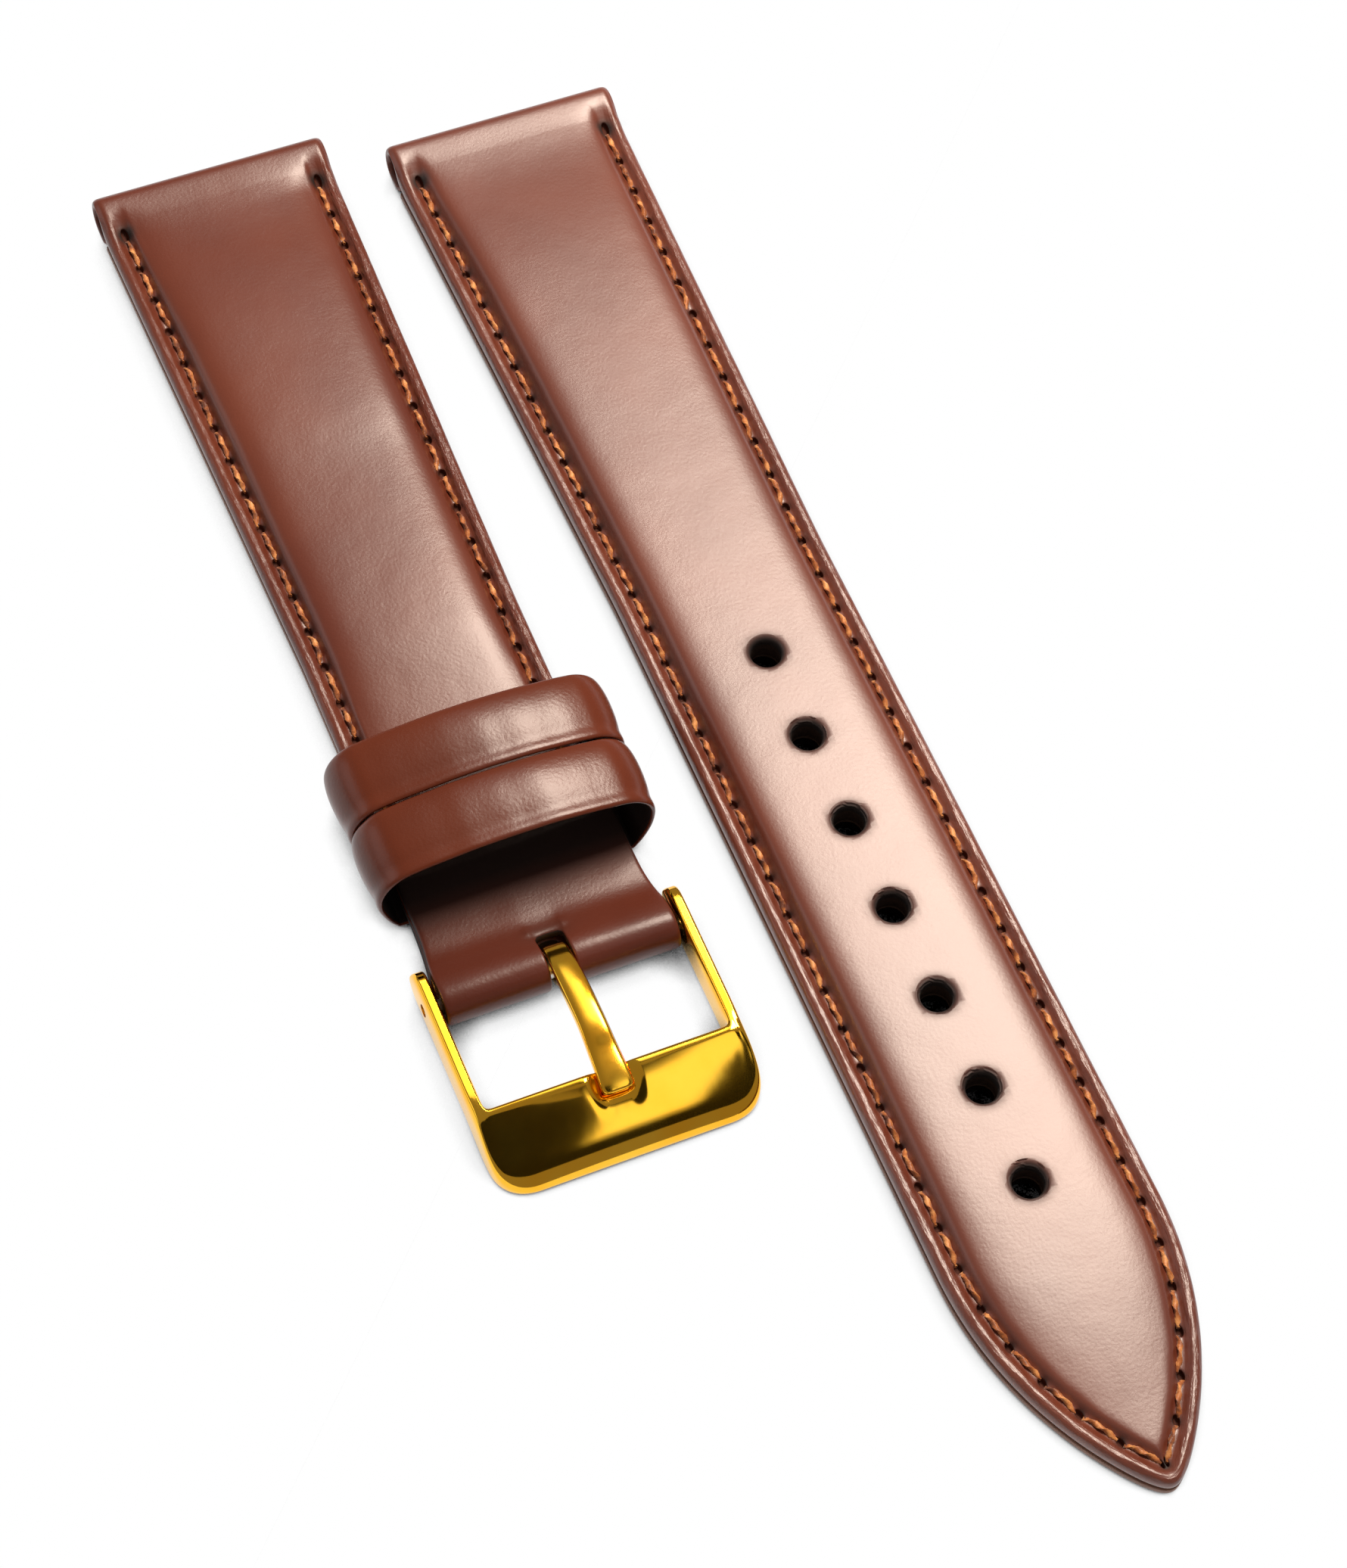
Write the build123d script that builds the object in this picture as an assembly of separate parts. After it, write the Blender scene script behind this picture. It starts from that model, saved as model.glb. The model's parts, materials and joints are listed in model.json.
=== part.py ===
from build123d import *
import math
import os

os.makedirs("parts", exist_ok=True)

# A two-piece leather watch strap, laid flat with its halves side by side. Millimetres.
# X runs across the straps, +Y points to the ends that meet the watch, and +Z is up.
# The origin is on the surface that the strap lies on, under the middle of the pair.
# Each half is drawn with its watch end at y = 0 and moved to its place at the end.
# The long half is the tail with the adjustment holes, the short half holds the buckle.

# Widths and lengths of the two halves
lug_width = 18.0            # at the watch
strap_width = 16.0          # at the buckle
fold_length = 3.4           # from the watch end to the crease behind the tunnel
taper_end = 44.0            # where the strap has narrowed to its lesser width
tail_length = 117.4
tip_arc_radius = 26.5       # each side of the pointed tail is one arc
tip_round_radius = 1.5      # blunts the point
short_end = 60.0            # of the short half's layers, where the folded tab carries on
pair_gap = 3.21             # between the two halves, from a keeper to the tail's edge
lug_offset = 2.2            # how much further up the short half lies

# Layers of leather, from below
lining_thickness = 0.8
tape_thickness = 0.2        # stretch-proof tape under the padding
tape_width = 8.0
top_leather_thickness = 0.8

# Turned edge and stitched channel
seam_inset = 1.45           # from the edge to the stitch line
channel_side_clearance = 0.25
channel_lip_drop = 0.15     # the channel's rims, below the top of the edge bead
bead_side_drop = 0.6        # how far the edge bead rounds down outside
pad_margin = 0.35           # from the channel to the padding inside
pad_side_run = 2.6          # across the padding's sloping side
pad_side_rise = 0.3         # height of the padding's cut side
bead_peak_share = 0.45
pad_side_out_share = 0.45
pad_side_up_share = 0.68
crown_sag_share = 0.12
least_inside_rise = 0.08

# Turned edge above the lining, and padding under the top leather, from place to place
edge_rise = 1.2
crease_pad = 0.7
shoulder_run = 4.6          # from the crease to the padding's shoulder
shoulder_pad = 1.45
full_run = 11.6             # from the crease to the full height
full_pad = 1.9
tail_middle_pad = 1.7
tail_tip_pad = 1.3
short_middle_pad = 1.3
short_middle_edge_rise = 1.1
thin_length = 8.0           # the short half's end is thin, under the keepers
thin_pad = 0.4
thin_edge_rise = 0.9
short_end_pad = 0.1
short_end_edge_rise = 0.8

# Tunnel for the watch's spring bar at each watch end
tunnel_bore_radius = 0.95
tunnel_wall = 0.55
tunnel_slope_out_share = 0.5
tunnel_slope_drop_share = 0.32

# Adjustment holes
hole_count = 7
hole_pitch = 7.2
last_hole_to_tip = 21.8
hole_radius = 1.1
hole_rim_round = 0.45

# Stitching
stitch_pitch = 3.1
stitch_gap = 0.9            # between one visible thread length and the next
crease_to_stitch = 0.5
thread_radius = 0.25
bobbin_radius = 0.2
thread_clearance = 0.04
groove_side_clearance = 0.15    # in the lining's underside
groove_room = 0.1

# Folded tab that holds the buckle
tab_length = 11.7           # from the short half's end to the spring bar's axis
tab_thickness = 1.5
tab_lap_length = 6.0        # its skived end, between top leather and lining
tab_lap_thickness = 0.5
tab_lap_margin = 2.5        # from the strap's edge to the lap
tab_swell_length = 3.3      # where the tab swells round the spring bar
loop_radius = 1.6
loop_lift = 0.15            # from the loop to the surface that the strap lies on
slot_back_clearance = 0.75
slot_side_clearance = 0.25

# Keepers
keeper_width = 5.4
keeper_overhang = 2.25      # beside the strap
keeper_widest_height = 4.1
keeper_height = 8.0
keeper_bottom = 0.6
keeper_wall = 0.8
keeper_crown_radius = 40.0  # the nearly flat top
keeper_foot_inset = 1.65    # from the widest point in to the flat foot
keeper_shoulder_inset = 2.25
keeper_bulge = 0.22         # the middle of the band stands this proud of its rims
keeper_play = 0.08
keeper_gap = 0.1
keeper_side_clearance = 0.35
keeper_lead = 4.5           # the fixed keeper's front, beyond the short half's layers
inner_shoulder_share = 0.65

# Buckle frame
leg_side_clearance = 0.6    # from the tab to a leg
leg_thickness = 1.0
leg_height = 2.9
leg_back = 2.7              # behind the spring bar's axis
leg_edge_radius = 0.3
window_length = 8.7         # from the spring bar's axis to the front bar
front_bar_depth = 5.6
frame_top = 3.3
frame_bottom = 0.1
frame_lip = 0.6             # flat band along the window
nose_height = 1.1
nose_run = 0.5
slope_bulge = 0.45
frame_corner_radius = 2.4
notch_depth = 0.35
notch_clearance = 0.15

# Tongue
tongue_width = 1.8
tongue_tip_width = 2.3
tongue_overlap = 2.3        # past the window, onto the front bar
tongue_crest = 2.85         # its top above the spring bar's axis
tongue_tip_rest = 0.07      # its tip above the notch
tongue_tip_thickness = 0.73
collar_wall = 0.5
collar_clearance = 0.05
# Outline as shares: of the reach from the axis to the tip, and of the crest's height
tongue_back_shares = (-0.0545, 0.4035)
tongue_rise_top_shares = (0.1727, 0.7018)
tongue_arch_top_shares = (0.4182, 0.9649)
tongue_crest_top_shares = (0.5455, 1.0)
tongue_kink_top_shares = (0.6818, 0.9474)
tongue_kink_under_shares = (0.7, 0.614)
tongue_crest_under_shares = (0.5455, 0.6667)
tongue_arch_under_shares = (0.4, 0.614)
tongue_rise_under_shares = (0.2091, 0.386)
tongue_root_under_shares = (0.1, 0.1053)
tongue_tip_top_share = 0.973
tongue_tip_under_share = 0.986

# Spring bar
bar_radius = 0.75
bar_wall = 0.25
bar_side_gap = 0.4          # from the bar's tube to a leg
bar_end_wall = 0.3
piston_clearance = 0.04
piston_length = 1.5
pin_step = 0.04             # from the piston's radius to the pin's
pin_clearance = 0.05
pin_reach = 0.85            # how far a pin's tip enters its leg
spring_clearance = 0.05
spring_wall = 0.17
end_play = 0.03

overrun = 5.0               # how far a cut runs past what it cuts

# Worked out from the sizes above
channel_half_width = thread_radius + channel_side_clearance
channel_depth = 2 * thread_radius
groove_half_width = bobbin_radius + groove_side_clearance
groove_depth = 2 * bobbin_radius + groove_room
bobbin_height = groove_depth - bobbin_radius - thread_clearance
stitch_length = stitch_pitch - stitch_gap
first_stitch_at = fold_length + crease_to_stitch
edge_height = lining_thickness + edge_rise
leathers = lining_thickness + top_leather_thickness
tunnel_radius = tunnel_bore_radius + tunnel_wall
hole_rim_radius = hole_radius + hole_rim_round
first_hole_at = tail_length - last_hole_to_tip - (hole_count - 1) * hole_pitch
short_pad_end = short_end - tab_lap_length
thin_at = short_end - thin_length
keeper_half_width = strap_width / 2 + keeper_overhang
fixed_keeper_front = short_end + keeper_lead
keeper_back = fixed_keeper_front - keeper_width
short_base = keeper_bottom + keeper_play
tab_lap_width = strap_width - 2 * tab_lap_margin
bar_axis_at = short_end + tab_length
bar_axis_height = loop_radius + loop_lift
axis_height = bar_axis_height - short_base
leg_inner = strap_width / 2 + leg_side_clearance
window_front = bar_axis_at + window_length
frame_front = window_front + front_bar_depth
notch_floor = frame_top - notch_depth
tongue_reach = window_length + tongue_overlap
collar_radius = bar_radius + collar_clearance + collar_wall
bar_half_length = leg_inner - bar_side_gap
bar_bore_radius = bar_radius - bar_wall
piston_radius = bar_bore_radius - piston_clearance
pin_radius = piston_radius - pin_step
spring_radius = bar_bore_radius - spring_clearance
spring_bore_radius = spring_radius - spring_wall
pair_spacing = lug_width / 2 + keeper_half_width + pair_gap
x_short = -(pair_spacing + lug_width / 2 - keeper_half_width) / 2
x_tail = x_short + pair_spacing
y_tail = (tail_length - lug_offset) / 2
y_short = y_tail + lug_offset
arc_centre_x = tip_arc_radius - strap_width / 2
tip_centre_at = tail_length - tip_round_radius
tip_start = tip_centre_at - math.sqrt(
    (tip_arc_radius - tip_round_radius) ** 2 - arc_centre_x**2
)

# Stations along each half: distance from the watch end, edge height, crown height
lug_stations = [
    (fold_length, edge_height, leathers + crease_pad),
    (fold_length + shoulder_run, edge_height, leathers + shoulder_pad),
    (fold_length + full_run, edge_height, leathers + full_pad),
]
tail_stations = [
    *lug_stations,
    (taper_end, edge_height, leathers + tail_middle_pad),
    (tip_start, edge_height, leathers + tail_tip_pad),
]
short_stations = [
    *lug_stations,
    (taper_end, lining_thickness + short_middle_edge_rise, leathers + short_middle_pad),
    (thin_at, lining_thickness + thin_edge_rise, leathers + thin_pad),
    (short_end, lining_thickness + short_end_edge_rise, leathers + short_end_pad),
]


def half_width(s):
    """Half the strap's width at distance s from the watch end."""
    share = (s - fold_length) / (taper_end - fold_length)
    share = min(max(share, 0), 1)
    return (lug_width + share * (strap_width - lug_width)) / 2


def heights_at(stations, s):
    """Edge and crown height at distance s, straight between two stations."""
    for (s0, edge0, crown0), (s1, edge1, crown1) in zip(stations, stations[1:]):
        if s <= s1:
            share = (s - s0) / (s1 - s0)
            return edge0 + share * (edge1 - edge0), crown0 + share * (crown1 - crown0)
    return stations[-1][1:]


def cross_section(s, start, steps, crown):
    """Closed face across the strap. steps go up the right side from start: a step of one
    point is a line and a step of two is an arc. An arc through the crown closes the top."""

    def at(point, side=1):
        return Vector(side * point[0], -s, point[1])

    right, left, here = [], [], start
    for step in steps:
        if len(step) == 1:
            right.append(Edge.make_line(at(here), at(step[0])))
            left.append(Edge.make_line(at(step[0], -1), at(here, -1)))
        else:
            right.append(Edge.make_three_point_arc(at(here), at(step[0]), at(step[1])))
            left.append(Edge.make_three_point_arc(at(step[1], -1), at(step[0], -1), at(here, -1)))
        here = step[-1]
    top = Edge.make_three_point_arc(at(here), at((0, crown)), at(here, -1))
    base = Edge.make_line(at(start, -1), at(start))
    return Face(Wire([*right, top, *reversed(left), base]))


def leather_section(s, edge, crown):
    """Outside of the top leather: turned edge, bead, stitched channel, padded crown."""
    w = half_width(s)
    bead = seam_inset - channel_half_width
    lip = edge - channel_lip_drop
    inner = w - seam_inset - channel_half_width
    rise = crown - lip
    sag = crown_sag_share * rise
    flat = inner - pad_side_run
    side_mid = (
        inner - pad_side_out_share * pad_side_run,
        lip + pad_side_up_share * (rise - sag),
    )
    steps = [
        [(w, edge - bead_side_drop)],
        [(w - bead_peak_share * bead, edge), (w - bead, lip)],
        [(w - seam_inset, edge - channel_depth), (inner, lip)],
        [side_mid, (flat, crown - sag)],
    ]
    return cross_section(s, (w, lining_thickness), steps, crown)


def padding_section(s, edge, crown):
    """The padding under the top leather, inside the stitch lines."""
    w = half_width(s) - seam_inset - channel_half_width - pad_margin
    foot = lining_thickness + pad_side_rise
    top = crown - top_leather_thickness
    rise = max(top - foot, least_inside_rise)
    sag = crown_sag_share * rise
    flat = w - pad_side_run
    side_mid = (
        w - pad_side_out_share * pad_side_run,
        foot + pad_side_up_share * (rise - sag),
    )
    steps = [[(w, foot)], [side_mid, (flat, foot + rise - sag)]]
    return cross_section(s, (w, lining_thickness), steps, foot + rise)


def loft_along(stations, section):
    """Straight lofts from station to station, joined."""
    faces = [section(*station) for station in stations]
    spans = [
        Solid.make_loft([near.outer_wire(), far.outer_wire()], ruled=True)
        for near, far in zip(faces, faces[1:])
    ]
    return spans[0].fuse(*spans[1:]) if len(spans) > 1 else spans[0]


def tail_tip(section):
    """The pointed end: the last section turned about each side's arc centre, then mitred."""
    axis = Axis((-arc_centre_x, -tip_start, 0), (0, 0, -1))
    turn = math.degrees(math.acos(arc_centre_x / tip_arc_radius))
    turned = revolve(section(*tail_stations[-1]), axis, turn)
    side = Pos(0, -tip_start, 0) * Box(
        strap_width, tip_arc_radius, tip_arc_radius, align=(Align.MIN, Align.MAX, Align.MIN)
    )
    right = turned & side
    return right + mirror(right, about=Plane.YZ)


def tail_plan():
    """Outline of the tail seen from above, behind the crease."""
    w_lug = lug_width / 2
    w = strap_width / 2
    meet = Vector(0, -tip_centre_at) - Vector(-arc_centre_x, -tip_start)
    reach = meet.normalized() * tip_arc_radius
    touch = (-arc_centre_x + reach.X, -tip_start + reach.Y)
    half_turn = math.atan2(-reach.Y, reach.X) / 2
    middle = (
        -arc_centre_x + tip_arc_radius * math.cos(half_turn),
        -tip_start - tip_arc_radius * math.sin(half_turn),
    )
    edges = [
        Edge.make_line((w_lug, -fold_length), (w, -taper_end)),
        Edge.make_line((w, -taper_end), (w, -tip_start)),
        Edge.make_three_point_arc((w, -tip_start), middle, touch),
        Edge.make_three_point_arc(touch, (0, -tail_length), (-touch[0], touch[1])),
        Edge.make_three_point_arc(
            (-touch[0], touch[1]), (-middle[0], middle[1]), (-w, -tip_start)
        ),
        Edge.make_line((-w, -tip_start), (-w, -taper_end)),
        Edge.make_line((-w, -taper_end), (-w_lug, -fold_length)),
        Edge.make_line((-w_lug, -fold_length), (w_lug, -fold_length)),
    ]
    return Face(Wire(edges))


def seam_path(inset, side, end_at, pointed):
    """Line at an inset from one edge, from the first stitch to the half's end or its tip."""
    w = strap_width / 2 - inset
    start = (side * (half_width(first_stitch_at) - inset), -first_stitch_at)
    bend = (side * w, -taper_end)
    last = (side * w, -end_at)
    edges = [Edge.make_line(start, bend), Edge.make_line(bend, last)]
    if pointed:
        radius = tip_arc_radius - inset
        turn = math.acos(arc_centre_x / radius)
        middle = (
            side * (radius * math.cos(turn / 2) - arc_centre_x),
            -end_at - radius * math.sin(turn / 2),
        )
        point = (0, -end_at - radius * math.sin(turn))
        edges.append(Edge.make_three_point_arc(last, middle, point))
    return Wire(edges)


def stitch_rows(end_at, pointed, radius, height_at):
    """Short thread lengths between needle holes, on both sides, at the height given along."""
    stitches = []
    for side in (1, -1):
        path = seam_path(seam_inset, side, end_at, pointed)
        count = round(path.length / stitch_pitch)
        for number in range(count):
            near, far = (
                path.position_at(path.length * n / count, position_mode=PositionMode.LENGTH)
                for n in (number, number + 1)
            )
            near.Z = height_at(-near.Y)
            far.Z = height_at(-far.Y)
            along = Plane(origin=(near + far) / 2, z_dir=far - near)
            stitches.append((along * Cylinder(radius, stitch_length)).solid())
    return Compound(children=stitches)


def needle_thread(stations, end_at, pointed):
    """The upper thread, in the channel of the top leather."""
    lift = thread_radius + thread_clearance - channel_depth
    return stitch_rows(
        end_at, pointed, thread_radius, lambda s: heights_at(stations, s)[0] + lift
    )


def bobbin_thread(end_at, pointed):
    """The lower thread, in the lining's groove."""
    return stitch_rows(end_at, pointed, bobbin_radius, lambda s: bobbin_height)


def underside_groove(end_at, pointed):
    """Channel in the lining's underside that the lower thread lies in."""
    cut = []
    for side in (1, -1):
        outer = seam_path(seam_inset - groove_half_width, side, end_at, pointed)
        inner = seam_path(seam_inset + groove_half_width, side, end_at, pointed)
        ends = [(outer @ 0, inner @ 0), (outer @ 1, inner @ 1)]
        caps = [Edge.make_line(a, b) for a, b in ends]
        face = Face(Wire([*outer.edges(), caps[1], *inner.edges(), caps[0]]))
        cut.append(extrude(face, groove_depth, dir=(0, 0, 1)))
    return cut


def lug_tunnel():
    """Leather turned round the watch's spring bar, down to the crease behind it."""
    r = tunnel_radius
    back = (-fold_length, edge_height - channel_lip_drop)
    top = (-r, 2 * r)
    slope = (
        top[0] + tunnel_slope_out_share * (back[0] - top[0]),
        top[1] + tunnel_slope_drop_share * (back[1] - top[1]),
    )
    diagonal = r * math.sqrt(2) / 2
    outline = [
        Edge.make_line((-fold_length, 0), (-r, 0)),
        Edge.make_three_point_arc((-r, 0), (diagonal - r, r - diagonal), (0, r)),
        Edge.make_three_point_arc((0, r), (diagonal - r, r + diagonal), top),
        Edge.make_three_point_arc(top, slope, back),
        Edge.make_line(back, (-fold_length, 0)),
    ]
    side_view = Plane.YZ.offset(-lug_width / 2) * Face(Wire(outline))
    return extrude(side_view, lug_width, dir=(1, 0, 0))


def across(radius, length, s, z):
    """A round bar across the strap, centred on it."""
    return Pos(0, -s, z) * Rot(0, 90, 0) * Cylinder(radius, length)


def tunnel_bore():
    return across(tunnel_bore_radius, lug_width + overrun, tunnel_radius, tunnel_radius)


def tape(start, end):
    return Pos(0, -start, lining_thickness) * Box(
        tape_width, end - start, tape_thickness, align=(Align.CENTER, Align.MAX, Align.MIN)
    )


def one(shape):
    """The shape as its single solid."""
    return shape.solid()


def build_tail():
    padding_form = loft_along(tail_stations, padding_section) + tail_tip(padding_section)
    leather_form = loft_along(tail_stations, leather_section) + tail_tip(leather_section)
    plan = tail_plan()
    leather_form = leather_form & extrude(plan, edge_height + overrun, dir=(0, 0, 1))
    top_leather = leather_form + lug_tunnel() - tunnel_bore() - padding_form
    tail_tape = tape(fold_length, tip_start)
    padding = padding_form - tail_tape
    lining = extrude(plan, lining_thickness, dir=(0, 0, 1))
    for groove in underside_groove(tip_start, True):
        lining -= groove
    layers = {
        "tail_top_leather": top_leather,
        "tail_padding": padding,
        "tail_stretch_tape": tail_tape,
        "tail_lining": lining,
    }
    for number in range(hole_count):
        s = first_hole_at + number * hole_pitch
        top = heights_at(tail_stations, s)[1]
        punch = Pos(0, -s, 0) * Cylinder(hole_radius, 2 * (top + overrun))
        rim = Pos(0, -s, top - hole_rim_round / 2) * Cone(
            hole_radius, hole_rim_radius, hole_rim_round
        )
        for name in layers:
            layers[name] -= punch
        layers["tail_top_leather"] -= rim
    parts = {name: one(layer) for name, layer in layers.items()}
    parts["tail_needle_thread"] = needle_thread(tail_stations, tip_start, True)
    parts["tail_bobbin_thread"] = bobbin_thread(tip_start, True)
    return parts


def short_plan():
    w_lug = lug_width / 2
    w = strap_width / 2
    right = [(w_lug, -fold_length), (w, -taper_end), (w, -short_end)]
    left = [(-x, y) for x, y in reversed(right)]
    return Face(Wire.make_polygon([*right, *left], close=True))


def build_short_layers():
    inside = [station for station in short_stations if station[0] < short_pad_end]
    inside.append((short_pad_end, *heights_at(short_stations, short_pad_end)))
    padding_form = loft_along(inside, padding_section)
    leather_form = loft_along(short_stations, leather_section)
    lap = tab_lap()
    top_leather = leather_form + lug_tunnel() - tunnel_bore() - padding_form - lap
    short_tape = tape(fold_length, short_pad_end)
    lining = extrude(short_plan(), lining_thickness, dir=(0, 0, 1))
    for groove in underside_groove(short_end, False):
        lining -= groove
    return {
        "short_top_leather": one(top_leather),
        "short_padding": one(padding_form - short_tape),
        "short_stretch_tape": one(short_tape),
        "short_lining": one(lining),
        "short_needle_thread": needle_thread(short_stations, short_end, False),
        "short_bobbin_thread": bobbin_thread(short_end, False),
    }


def tab_lap():
    """Skived end of the tab, caught between the top leather and the lining."""
    return Pos(0, -short_pad_end, lining_thickness) * Box(
        tab_lap_width,
        short_end - short_pad_end,
        tab_lap_thickness,
        align=(Align.CENTER, Align.MAX, Align.MIN),
    )


def build_tab():
    """Plain leather folded round the buckle's spring bar, slotted for the tongue."""
    r = loop_radius
    z = axis_height
    axis_y = -bar_axis_at
    diagonal = r * math.sqrt(2) / 2
    under = (axis_y + tab_swell_length, 0)
    over = (axis_y + tab_swell_length, tab_thickness)
    outline = [
        Edge.make_line((-short_end, 0), under),
        Edge.make_line(under, (axis_y, z - r)),
        Edge.make_three_point_arc(
            (axis_y, z - r), (axis_y - diagonal, z - diagonal), (axis_y - r, z)
        ),
        Edge.make_three_point_arc(
            (axis_y - r, z), (axis_y - diagonal, z + diagonal), (axis_y, z + r)
        ),
        Edge.make_line((axis_y, z + r), over),
        Edge.make_line(over, (-short_end, tab_thickness)),
        Edge.make_line((-short_end, tab_thickness), (-short_end, 0)),
    ]
    side_view = Plane.YZ.offset(-strap_width / 2) * Face(Wire(outline))
    tab = extrude(side_view, strap_width, dir=(1, 0, 0)) + tab_lap()
    tab -= across(bar_radius + collar_clearance, strap_width + overrun, bar_axis_at, z)
    slot_start = axis_y + collar_radius + slot_back_clearance
    slot = Pos(0, slot_start, z) * Box(
        tongue_width + 2 * slot_side_clearance,
        loop_radius + overrun,
        2 * (loop_radius + overrun),
        align=(Align.CENTER, Align.MAX, Align.CENTER),
    )
    return one(tab - slot)


def keeper_outline(s, half, bottom, top, shoulder_inset):
    """Closed face of a keeper's bent band: flat foot, bulging sides, nearly flat top."""
    foot = half - keeper_foot_inset
    shoulder = half - shoulder_inset
    shoulder_height = top - keeper_crown_radius + math.sqrt(
        keeper_crown_radius**2 - shoulder**2
    )

    def at(x, z):
        return Vector(x, -s, z)

    edges = []
    for side in (1, -1):
        widest = at(side * half, keeper_widest_height)
        edges.append(Edge.make_tangent_arc(widest, (0, 0, -1), at(side * foot, bottom)))
        edges.append(
            Edge.make_tangent_arc(widest, (0, 0, 1), at(side * shoulder, shoulder_height))
        )
    edges.append(
        Edge.make_three_point_arc(
            at(shoulder, shoulder_height), at(0, top), at(-shoulder, shoulder_height)
        )
    )
    edges.append(Edge.make_line(at(-foot, bottom), at(foot, bottom)))
    return Face(Wire(edges))


def build_keeper(front, inner_bottom):
    """One keeper, its front face at distance front from the watch end."""
    back = front - keeper_width
    sections = []
    for s, proud in ((front, 0), ((front + back) / 2, keeper_bulge), (back, 0)):
        half = keeper_half_width - keeper_bulge + proud
        top = keeper_height - keeper_bulge + proud
        outline = keeper_outline(s, half, 0, top, keeper_shoulder_inset)
        sections.append(outline.outer_wire())
    band = Solid.make_loft(sections)
    inner_half = keeper_half_width - keeper_bulge - keeper_wall
    inner = keeper_outline(
        front + overrun,
        inner_half,
        inner_bottom,
        keeper_height - keeper_bulge - keeper_wall,
        keeper_shoulder_inset * inner_shoulder_share,
    )
    hollow = extrude(inner, keeper_width + 2 * overrun, dir=(0, 1, 0))
    strap_room = Pos(0, -(front + overrun), inner_bottom) * Box(
        strap_width + 2 * keeper_side_clearance,
        keeper_width + 2 * overrun,
        keeper_widest_height - inner_bottom,
        align=(Align.CENTER, Align.MIN, Align.MIN),
    )
    return one(band - hollow - strap_room)


def build_buckle_frame():
    """Two legs and a sloping front bar in one piece, with a hole in each leg."""
    z = bar_axis_height
    half_leg = leg_height / 2
    rear = bar_axis_at - leg_back
    leg_profile = [
        Edge.make_line((-window_front - frame_lip, z - half_leg), (-rear - half_leg, z - half_leg)),
        Edge.make_three_point_arc(
            (-rear - half_leg, z - half_leg), (-rear, z), (-rear - half_leg, z + half_leg)
        ),
        Edge.make_line((-rear - half_leg, z + half_leg), (-window_front - frame_lip, z + half_leg)),
        Edge.make_line(
            (-window_front - frame_lip, z + half_leg), (-window_front - frame_lip, z - half_leg)
        ),
    ]
    leg = extrude(Plane.YZ.offset(leg_inner) * Face(Wire(leg_profile)), leg_thickness, dir=(1, 0, 0))
    long_edges = leg.edges().filter_by(Axis.Y)
    leg = fillet(long_edges, leg_edge_radius)
    half = leg_inner + leg_thickness
    slope_start = (-window_front - frame_lip, frame_top)
    nose = (-frame_front, nose_height)
    slope_mid = (
        (slope_start[0] + nose[0]) / 2,
        (slope_start[1] + nose[1]) / 2 + slope_bulge,
    )
    bottom_front = (-frame_front + nose_run, frame_bottom)
    bar_profile = [
        Edge.make_line((-window_front, frame_bottom), (-window_front, frame_top)),
        Edge.make_line((-window_front, frame_top), slope_start),
        Edge.make_three_point_arc(slope_start, slope_mid, nose),
        Edge.make_line(nose, bottom_front),
        Edge.make_line(bottom_front, (-window_front, frame_bottom)),
    ]
    bar = extrude(Plane.YZ.offset(-half) * Face(Wire(bar_profile)), 2 * half, dir=(1, 0, 0))
    corners = Pos(0, -frame_front, 0) * RectangleRounded(
        2 * half, 2 * front_bar_depth, frame_corner_radius
    )
    bar = bar & extrude(Pos(0, front_bar_depth, 0) * corners, frame_top + overrun, dir=(0, 0, 1))
    frame = bar + leg + mirror(leg, about=Plane.YZ)
    frame -= across(pin_radius + pin_clearance, 2 * (half + overrun), bar_axis_at, z)
    notch_radius = tongue_tip_width / 2 + notch_clearance
    notch_end = bar_axis_at + tongue_reach + notch_clearance - notch_radius
    notch = Pos(0, -notch_end, notch_floor) * Cylinder(
        notch_radius, overrun, align=(Align.CENTER, Align.CENTER, Align.MIN)
    )
    notch += Pos(0, -notch_end, notch_floor) * Box(
        2 * notch_radius, overrun, overrun, align=(Align.CENTER, Align.MIN, Align.MIN)
    )
    return one(frame - notch)


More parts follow.
